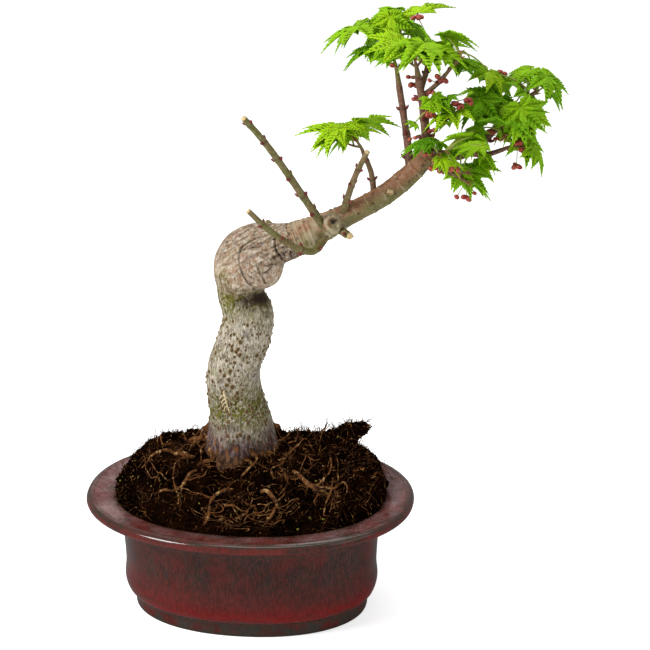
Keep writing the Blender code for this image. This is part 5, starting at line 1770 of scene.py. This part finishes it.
def grow_more(mass, grown, trees, chance, wood):
    """Carries a spray on: smaller leaves on longer stalks, wherever the back of its space leaves room."""
    spec, feet, more = FOLIAGE[mass], twig_nodes(grown), []
    for n in range(MORE_LEAVES):
        foot = feet[n % len(feet)]
        for k in range(MORE_TRIES):
            azimuth = math.radians(BACKWARDS + chance.uniform(-BACK_SPREAD, BACK_SPREAD))
            out = heading_of(azimuth, math.radians(chance.uniform(-30, 60)))
            leaf = {
                "foot": foot,
                "hub": foot + out * spec["petiole"] * chance.uniform(0.4, 1.5) * MM,
                "azimuth": azimuth + chance.uniform(-0.6, 0.6),
                "pitch": math.radians(chance.uniform(-5, 35)),
                "roll": chance.uniform(-0.5, 0.5),
                "length": spec["leaf"] * chance.uniform(0.6, 0.9) * (1 - 0.4 * k / MORE_TRIES) * MM,
            }
            if finds_room(leaf, mass, trees, wood):
                more.append(leaf)
                break
    return more


# %% All the sprays
wood = all_wood()
sprays, shown_of, leaves_of = {}, {}, {}
for mass in FOLIAGE:
    sprays[mass] = grow_mass(mass, *mass_root(mass), wood)
    shown_of[mass] = [shown_leaf(*row, twig_nodes(sprays[mass])) for row in SHOWN.get(mass, [])]
front_cells = seen_cells([leaf for leaves in shown_of.values() for leaf in leaves])
for mass, grown in sprays.items():
    trees = [leaf_tree(leaf) for leaf in shown_of[mass]]
    kept = [leaf for leaf in grown["leaves"] if finds_room(leaf, mass, trees, wood)]
    small = grow_more(mass, grown, trees, random.Random(1000 + FOLIAGE[mass]["seed"]), wood)
    leaves_of[mass] = shown_of[mass] + kept + small
    print(mass, len(shown_of[mass]), "leaves set,", len(kept), "from the rule and", len(small), "more")

# %% [markdown]
# ## One leaf
# The leaf has seven long-pointed lobes with saw-toothed margins. Each half lobe is a strip between its
# midrib and its margin, cut along the side veins, which run out to the teeth. Up to the notch the strip
# shares its outer line with the next lobe, so the strips close into one blade.

# %% The flat blade
LOBE_BULGE = 0.08  # how far a lobe swells beyond its taper, as a share of the leaf's length
TOOTH = 0.046
NOTCH_ROWS = 4
NOTCH_AT = 0.38
BASE_TURN = 42  # degrees from an outermost lobe to where the blade ends beside its stalk
BASE_AT = 0.10
TOOTH_STEPS = (0.5, 0.95, 1.0)
VEIN_SLANT = 0.9


def half_lobe(angle, tip, notch_angle, notch, teeth):
    """Half a lobe of a leaf of length 1: rows of (midrib, margin) points, and how much each margin rises."""
    axis = np.array([math.cos(angle), math.sin(angle)])
    across = np.array([-axis[1], axis[0]]) * (1.0 if notch_angle > angle else -1.0)
    corner = notch * np.array([math.cos(notch_angle), math.sin(notch_angle)])
    along_notch, wide_notch = corner @ axis, corner @ across
    rows, rises = [], []
    for k in range(NOTCH_ROWS + 1):
        share = k / NOTCH_ROWS
        rows.append((axis * (along_notch - VEIN_SLANT * wide_notch) * share, corner * share))
        rises.append((k % 2) * share)
    for tooth in range(teeth):
        for step in TOOTH_STEPS:
            q = (tooth + step) / teeth
            saw = step if step < 1 else 0.0
            wide = wide_notch * (1 - q) ** 1.3 + LOBE_BULGE * math.sin(math.pi * q**0.7) * (1 - q) ** 0.8
            wide += TOOTH * saw * (1 - q) ** 0.6
            along = along_notch + (tip - along_notch) * q + TOOTH * saw * saw * (1 - q) ** 0.3
            rows.append((axis * (along - VEIN_SLANT * wide), axis * along + across * wide))
            rises.append(saw)
    return rows, rises


def leaf_blade(teeth):
    """The blade's flat points, their distance from the midrib and rise, its triangles and its outer edges."""
    points, away, rise, faces = [], [], [], []
    last = len(LOBES) - 1
    for i, (degrees, tip) in enumerate(LOBES):
        for step in (-1, 1):
            notch_angle, notch = degrees + BASE_TURN * step, BASE_AT
            if 0 <= i + step <= last:
                other, other_tip = LOBES[i + step]
                notch_angle, notch = (degrees + other) / 2, NOTCH_AT * math.sqrt(tip * other_tip)
            rows, rises = half_lobe(math.radians(degrees), tip, math.radians(notch_angle), notch, teeth)
            start = len(points)
            for (midrib, margin), up in zip(rows, rises):
                points += [midrib, margin]
                away += [0, np.linalg.norm(margin - midrib)]
                rise += [0, up]
            for a in range(start, start + 2 * len(rows) - 2, 2):
                b, c, d = a + 1, a + 3, a + 2
                faces += [(a, b, c), (a, c, d)] if step < 0 else [(a, c, b), (a, d, c)]
    points, first, place = np.unique(np.round(points, 5), axis=0, return_index=True, return_inverse=True)
    faces = place.ravel()[np.array(faces)]
    faces = faces[(faces[:, 0] != faces[:, 1]) & (faces[:, 1] != faces[:, 2]) & (faces[:, 0] != faces[:, 2])]
    edges = {(a, b) for face in faces.tolist() for a, b in zip(face, face[1:] + face[:1])}
    rim = np.array(sorted(edge for edge in edges if (edge[1], edge[0]) not in edges))
    return points, np.array(away)[first], np.array(rise)[first], faces, rim


BLADE = leaf_blade(7)
print("a leaf has", 2 * len(BLADE[3]) + 2 * len(BLADE[4]), "triangles")

# %% [markdown]
# ## A leaf in place
# The flat blade is pleated along its midribs, rippled along its side veins and drooped towards its tips,
# each leaf a little differently. It is then carried to its place, and given a thickness, because a leaf of
# one skin would have no back in the export.

# %% Pleats, droop and thickness
BLADE_THICKNESS = 0.3 * MM
PLEAT = 0.34  # how steeply a lobe's halves rise from its midrib
RIPPLE = 0.018


def lay_out(leaf, seed, flat, away, rise):
    """Flat points of a leaf of length 1, pleated, drooped, and carried to the leaf's place."""
    forward, side, normal = (np.array(axis) for axis in leaf_axes(leaf))
    chance = random.Random(seed)
    pleat, curl, wave = PLEAT * chance.uniform(0.7, 1.25), chance.uniform(0.0, 0.16), chance.uniform(0, TURN)
    far = np.hypot(flat[:, 0], flat[:, 1])
    angle = np.arctan2(flat[:, 1], flat[:, 0])
    drop = LEAF_DROOP * far**1.8 + curl * np.maximum(far - 0.45, 0) ** 2
    drop = drop - pleat * away - RIPPLE * rise + 0.07 * far**2 * np.sin(3.1 * angle + wave)
    across = flat[:, :1] * forward + flat[:, 1:] * side
    return np.array(leaf["hub"]) + leaf["length"] * (across - drop[:, None] * normal)


def thick_leaf(leaf, seed):
    """Points and triangles of a leaf with both its sides and its rim."""
    flat, away, rise, faces, rim = BLADE
    middle = lay_out(leaf, seed, flat, away, rise)
    corners = middle[faces]
    face_normal = np.cross(corners[:, 1] - corners[:, 0], corners[:, 2] - corners[:, 0])
    normal = np.zeros_like(middle)
    for k in range(3):
        np.add.at(normal, faces[:, k], face_normal)
    normal /= np.linalg.norm(normal, axis=1)[:, None] + 1e-12
    count = len(middle)
    points = np.concatenate([middle + normal * BLADE_THICKNESS / 2, middle - normal * BLADE_THICKNESS / 2])
    a, b = rim[:, 0], rim[:, 1]
    walls = np.concatenate([np.stack([b, a, a + count], axis=1), np.stack([b, a + count, b + count], axis=1)])
    return points, np.concatenate([faces, faces[:, ::-1] + count, walls])


# %% [markdown]
# ## Leaf greens
# On the tree each leaf has its own green: the youngest are lime, and the deeper greens, down to shade,
# stand partly for older leaves inside the crown and partly for painted shade. Leaf colours are plain, and
# are dealt to whole leaves, by spray in front and at random behind, because a pattern on such small
# scattered faces would only blur. A little scattering below the surface lets a lit leaf glow through, as
# thin young leaves do.

# %% The greens, and leaves dealt among them
# lime to shade: the deeper greens are partly painted shade, partly older leaves' own colour
GREENS = {
    "lime": (0.310, 0.520, 0.006),
    "spring": (0.240, 0.460, 0.005),
    "meadow": (0.185, 0.395, 0.004),
    "fresh": (0.135, 0.325, 0.003),
    "shade": (0.088, 0.245, 0.003),
}
DEALT = {
    "foliage_tuft": ["lime", "lime", "spring"],
    "foliage_top_left": ["spring", "meadow", "spring", "lime"],
    "foliage_top_middle": ["lime", "spring", "spring"],
    "foliage_right": ["meadow", "spring", "fresh", "spring"],
    "foliage_right_low": ["spring", "meadow", "lime"],
}
ELSEWHERE = ["spring", "meadow", "spring", "fresh", "meadow", "lime"]
GLOW = {"Subsurface_Weight": 0.45, "Subsurface_Scale": 0.6 * MM, "Subsurface_Radius": (0.6, 1.0, 0.1)}


def make_green(name, green):
    plain = {"Base_Color": (*green, 1.0), "Roughness": 0.55, "Specular_IOR_Level": 0.12}
    return bare_finish("leaf_" + name, **plain, **GLOW)[0]


def join(shapes):
    """Several (points, faces) as one."""
    points, faces, start = [], [], 0
    for some, corners in shapes:
        points.append(some)
        faces.append(corners + start)
        start += len(some)
    return np.concatenate(points), np.concatenate(faces)


leaf_greens = {name: make_green(name, green) for name, green in GREENS.items()}
dealt, sprays_with, all_leaves = {}, {}, []
chance = random.Random(12)
for leaf in [leaf for mass in SHOWN for leaf in shown_of[mass]]:
    leaf["seed"] = len(all_leaves)
    all_leaves.append((leaf, leaf["seed"]))
for mass, leaves in leaves_of.items():
    for n, leaf in enumerate(leaves):
        tones = DEALT.get(mass, ELSEWHERE)
        tone = tones[n % len(tones)] if "seed" in leaf else chance.choice(list(GREENS))
        seed = leaf.get("seed", len(all_leaves))
        dealt.setdefault(tone, []).append(thick_leaf(leaf, seed))
        sprays_with.setdefault(tone, set()).add(mass)
        if "seed" not in leaf:
            all_leaves.append((leaf, seed))
for tone, shapes in dealt.items():
    leaves = piece("leaves_" + tone, *join(shapes), leaf_greens[tone])
    settle(leaves, "leaf", *sorted(sprays_with[tone]))

# %% Veins
VEIN_RADIUS = 0.24 * MM


def leaf_veins(leaf, seed):
    """The midrib of each lobe, from the hub nearly to the tip."""
    lines = []
    for degrees, tip in LOBES:
        share = np.linspace(0.0, 0.85, 8)
        axis = np.array([math.cos(math.radians(degrees)), math.sin(math.radians(degrees))])
        path = lay_out(leaf, seed, share[:, None] * tip * axis, 0 * share, 0 * share)
        lines.append((path, VEIN_RADIUS * (1 - 0.8 * share) * (leaf["length"] / (25 * MM)) ** 0.5))
    return lines


vein_green = make_speckled("leaf_vein", (0.42, 0.58, 0.06), (0.34, 0.52, 0.03), 3 * MM, 0.45)
vein_lines = [line for leaf, seed in all_leaves for line in leaf_veins(leaf, seed)]
veins = tubes("leaf_veins", vein_lines, 3, vein_green)
settle(veins, "leaf", *FOLIAGE)

# %% [markdown]
# ## Twigs, stalks, bud scales and flower buds
# The year's twigs are ruddy, and the stalks of their leaves are greener. Where a pair of leaves opened, the
# papery scales of the bud still stand round the stalks. Round pink buds hang in clusters on green threads.

# %% Twigs and leaf stalks
def arched(start, end, rise, count=9):
    t = np.linspace(0, 1, count)[:, None]
    line = np.array(start) * (1 - t) + np.array(end) * t
    line[:, 2] += (4 * t * (1 - t))[:, 0] * rise
    return line


shoot_red = make_speckled("shoot", (0.175, 0.070, 0.040), (0.200, 0.190, 0.045), 8 * MM, 0.45, 0.56)
stalk_green = make_speckled("leaf_stalk", (0.260, 0.400, 0.040), (0.300, 0.260, 0.060), 6 * MM, 0.42, 0.52)
twig_lines, stalk_lines = [], []
leaf_feet = {tuple(leaf["foot"]) for leaf, _ in all_leaves}


def leafy(grown):
    """The twigs that carry a leaf, or that carry such a twig."""
    kept = []
    for points, radii in reversed(grown["twigs"]):
        carries = any((point - other[0]).length < 2 * MM for other, _ in kept for point in points[1:])
        if carries or tuple(points[-1]) in leaf_feet or tuple(points[1]) in leaf_feet:
            kept.append((points, radii))
    return kept[::-1]


for mass, grown in sprays.items():
    grown["twigs"] = leafy(grown)
    for n, (points, radii) in enumerate(grown["twigs"]):
        line = np.array(smooth_line([(*p, r) for p, r in zip(points, radii)], 6))
        if n == 0:  # the stem leaves the end of its limb as thick as the limb is there
            limb_end = limb_line(FOLIAGE[mass]["limb"])[1][-1]
            line[:, 3] += (limb_end - line[0, 3]) * np.linspace(1, 0, len(line)) ** 1.5
            line[0, :3] += (line[0, :3] - line[1, :3]) * 0.5
        twig_lines.append((line[:, :3], line[:, 3] * 0.95))
for leaf, _ in all_leaves:
    far = (leaf["hub"] - leaf["foot"]).length
    line = arched(leaf["foot"], leaf["hub"], 0.10 * far)
    stalk_lines.append((line, np.linspace(0.52, 0.36, len(line)) * MM))
twigs = tubes("leafy_twigs", twig_lines, 8, shoot_red)
stalks = tubes("leaf_stalks", stalk_lines, 6, stalk_green)
settle(twigs, "leaf", *FOLIAGE)
settle(stalks, "leaf", *FOLIAGE)

# %% Bud scales
SCALE = [(0, 0.0), (0.55, 0.25), (0.85, 1.4), (0.8, 2.8), (0.5, 4.2), (0, 5.6)]
scale_red = make_speckled("bud_scale", (0.200, 0.050, 0.022), (0.330, 0.170, 0.060), 2.5 * MM, 0.5)
scale_form = turned_form("scale_form", SCALE, 6, bend=0.045)
scale_spots = []
chance = random.Random(17)
for mass, grown in sprays.items():
    for points, radii in grown["twigs"]:
        ahead = (points[-1] - points[-2]).normalized()
        for k in range(3):
            angle = TURN * k / 3 + chance.uniform(-0.4, 0.4)
            side = turned(ahead, angle, math.radians(chance.uniform(14, 34)))
            size = chance.uniform(0.6, 0.95) * MM
            scale_spots.append((points[-1] - ahead * 0.8 * MM, side, (size, 0.5 * size, size)))
scales = set_copies("bud_scales", scale_form, scale_spots, scale_red)
settle(scales, "leaf", *FOLIAGE)

# %% Flower buds
BERRY = [(0, -1.0), (0.62, -0.82), (0.98, -0.2), (0.92, 0.4), (0.55, 0.85), (0, 1.02)]
berry_pink = make_speckled("flower_bud", (0.255, 0.013, 0.010), (0.460, 0.095, 0.065), 2.0 * MM, 0.4)
berry_form = turned_form("berry_form", BERRY, 9)
berry_spots, thread_lines = [], []
SHOWN_BUDS = [  # x, y, z in mm of the middle of each cluster that shows from the front, and its buds
    (84, 11, 296, 2), (85, 9, 293, 3), (87, 9, 285, 2), (94, 0, 297, 1), (95, 2, 291, 2), (101, -1, 298, 2),
    (98, 0, 299, 1), (109, -7, 287, 5), (113, -4, 289, 3), (115, -6, 287, 1), (93, 0, 281, 2),
    (96, -4, 280, 2), (103, -5, 280, 2), (96, 2, 271, 2), (94, -4, 260, 2), (97, -4, 253, 3),
    (100, -4, 251, 1), (109, 3, 236, 1), (114, 4, 236, 2), (118, 4, 238, 1), (129, 12, 265, 2),
    (125, 13, 269, 2), (139, 7, 265, 3), (141, 7, 261, 3), (139, 9, 252, 5), (145, 11, 269, 3),
    (86, 23, 325, 4), (130, 28, 296, 2), (86, -3, 268, 2), (143, 9, 257, 1), (107, -1, 254, 2),
    (74, 16, 301, 1),
]


def hang_cluster(foot, knot, chance, count, spread_by):
    """Buds on short threads round a knot, which hangs on a thread of its own."""
    thread_lines.append((arched(foot, knot, 0.5 * MM, 7), np.full(7, 0.26 * MM)))
    for k in range(count):
        angle = TURN * k / count + chance.uniform(-0.5, 0.5)
        out = Vector((math.cos(angle), math.sin(angle), chance.uniform(-0.9, 0.2))).normalized()
        size = chance.uniform(1.0, 1.55) * MM
        spot = knot + out * (spread_by * chance.uniform(0.6, 1.0) if count > 1 else 0.0)
        thread_lines.append((arched(knot, spot, 0.0, 4), np.full(4, 0.2 * MM)))
        berry_spots.append((spot, out, (size, size, 1.25 * size)))


chance = random.Random(29)
for mass, grown in sprays.items():
    for cluster in grown["berries"]:
        if behind(cluster["knot"], mass) > 0 and sight_cell(cluster["knot"]) in front_cells:
            hang_cluster(cluster["foot"], cluster["knot"], chance, 5, 2.6 * MM)
holds = [point for name in LIMBS for point in limb_line(name)[0]]
holds += [point for grown in sprays.values() for point in twig_nodes(grown)]
for x, y, z, count in SHOWN_BUDS:
    knot = Vector((x, y, z)) * MM
    foot = min(holds, key=lambda point: (point - knot).length)
    hang_cluster(foot, knot, chance, count, 1.1 * MM * count**0.5)
berries = set_copies("flower_buds", berry_form, berry_spots, berry_pink)
threads = tubes("flower_threads", thread_lines, 5, stalk_green)
settle(berries, "leaf", *FOLIAGE)
settle(threads, "leaf", *FOLIAGE)
for form in (bud_form, scale_form, berry_form):
    bpy.data.objects.remove(form, do_unlink=True)

# %% [markdown]
# ## Floor, light and camera
# The tree stands on a plain pale floor under a bright even sky of studio white, with a strong soft lamp at
# the left front, a weak one at the right and one above. The camera stands a little to the right of the
# front and looks down by twenty degrees, as in the photograph.

# %% Floor and light
FLOOR_HALF = 3.0
LIGHTS_AIM = (0.03, 0.0, 0.16)


def make_floor():
    corners = [(FLOOR_HALF * x, FLOOR_HALF * y, 0) for x, y in ((-1, -1), (1, -1), (1, 1), (-1, 1))]
    material, tree, shader, place = bare_finish("pale_floor", Roughness=0.7, Specular_IOR_Level=0.2)
    mirrored = add(tree, "ShaderNodeLightPath").outputs["Is Glossy Ray"]
    cloud = patches(place, 400 * MM, 0.5, 0.5)
    pale = tinted(cloud, (0.92, 0.92, 0.92), (0.94, 0.94, 0.94))
    coat_with(shader, tinted(mirrored, pale, (0.20, 0.20, 0.20)))
    shader.inputs["Emission Color"].default_value = (1, 1, 1, 1)
    tree.links.new(spread(mirrored, 0.0, 1.0, 0.62, 0.0), shader.inputs["Emission Strength"])
    return piece("floor", corners, [(0, 1, 2, 3)], material)


def soft_light(name, place, side, power):
    """A square lamp at a place, turned to the middle of the tree; its power is in watts."""
    lamp = bpy.data.lights.new(name, "AREA")
    lamp.shape = "SQUARE"
    lamp.size = side
    lamp.energy = power
    made = put(name, lamp)
    made.location = place
    made.rotation_euler = (Vector(LIGHTS_AIM) - Vector(place)).to_track_quat("-Z", "Y").to_euler()


make_floor()
soft_light("key_light", (-0.85, -0.60, 1.05), 0.5, 16.5)
soft_light("fill_light", (0.95, -0.45, 0.65), 0.7, 1.0)
soft_light("top_light", (0.15, 0.30, 1.25), 0.8, 5.0)

world = bpy.data.worlds.new("studio")
world.use_nodes = True
bpy.context.scene.world = world
sky = world.node_tree
lit = sky.nodes["Background"]
lit.inputs["Color"].default_value = (1, 1, 1, 1)
rays = add(sky, "ShaderNodeLightPath").outputs
strength = spread(rays["Is Glossy Ray"], 0.0, 1.0, 0.42, 0.30)  # a studio is darker round the lamps
strength = maths("MAXIMUM", strength, rays["Is Camera Ray"])
sky.links.new(strength, lit.inputs["Strength"])

# %% Camera
camera = put("camera", bpy.data.cameras.new("camera"))
camera.data.lens = 100
camera.data.sensor_width = 36
axes = Matrix((VIEW_RIGHT.tolist(), VIEW_UP.tolist(), (-VIEW_AHEAD).tolist())).transposed()
camera.matrix_world = Matrix.Translation(CAMERA_AT) @ axes.to_4x4()
bpy.context.scene.camera = camera
bpy.context.scene.view_settings.view_transform = "Standard"
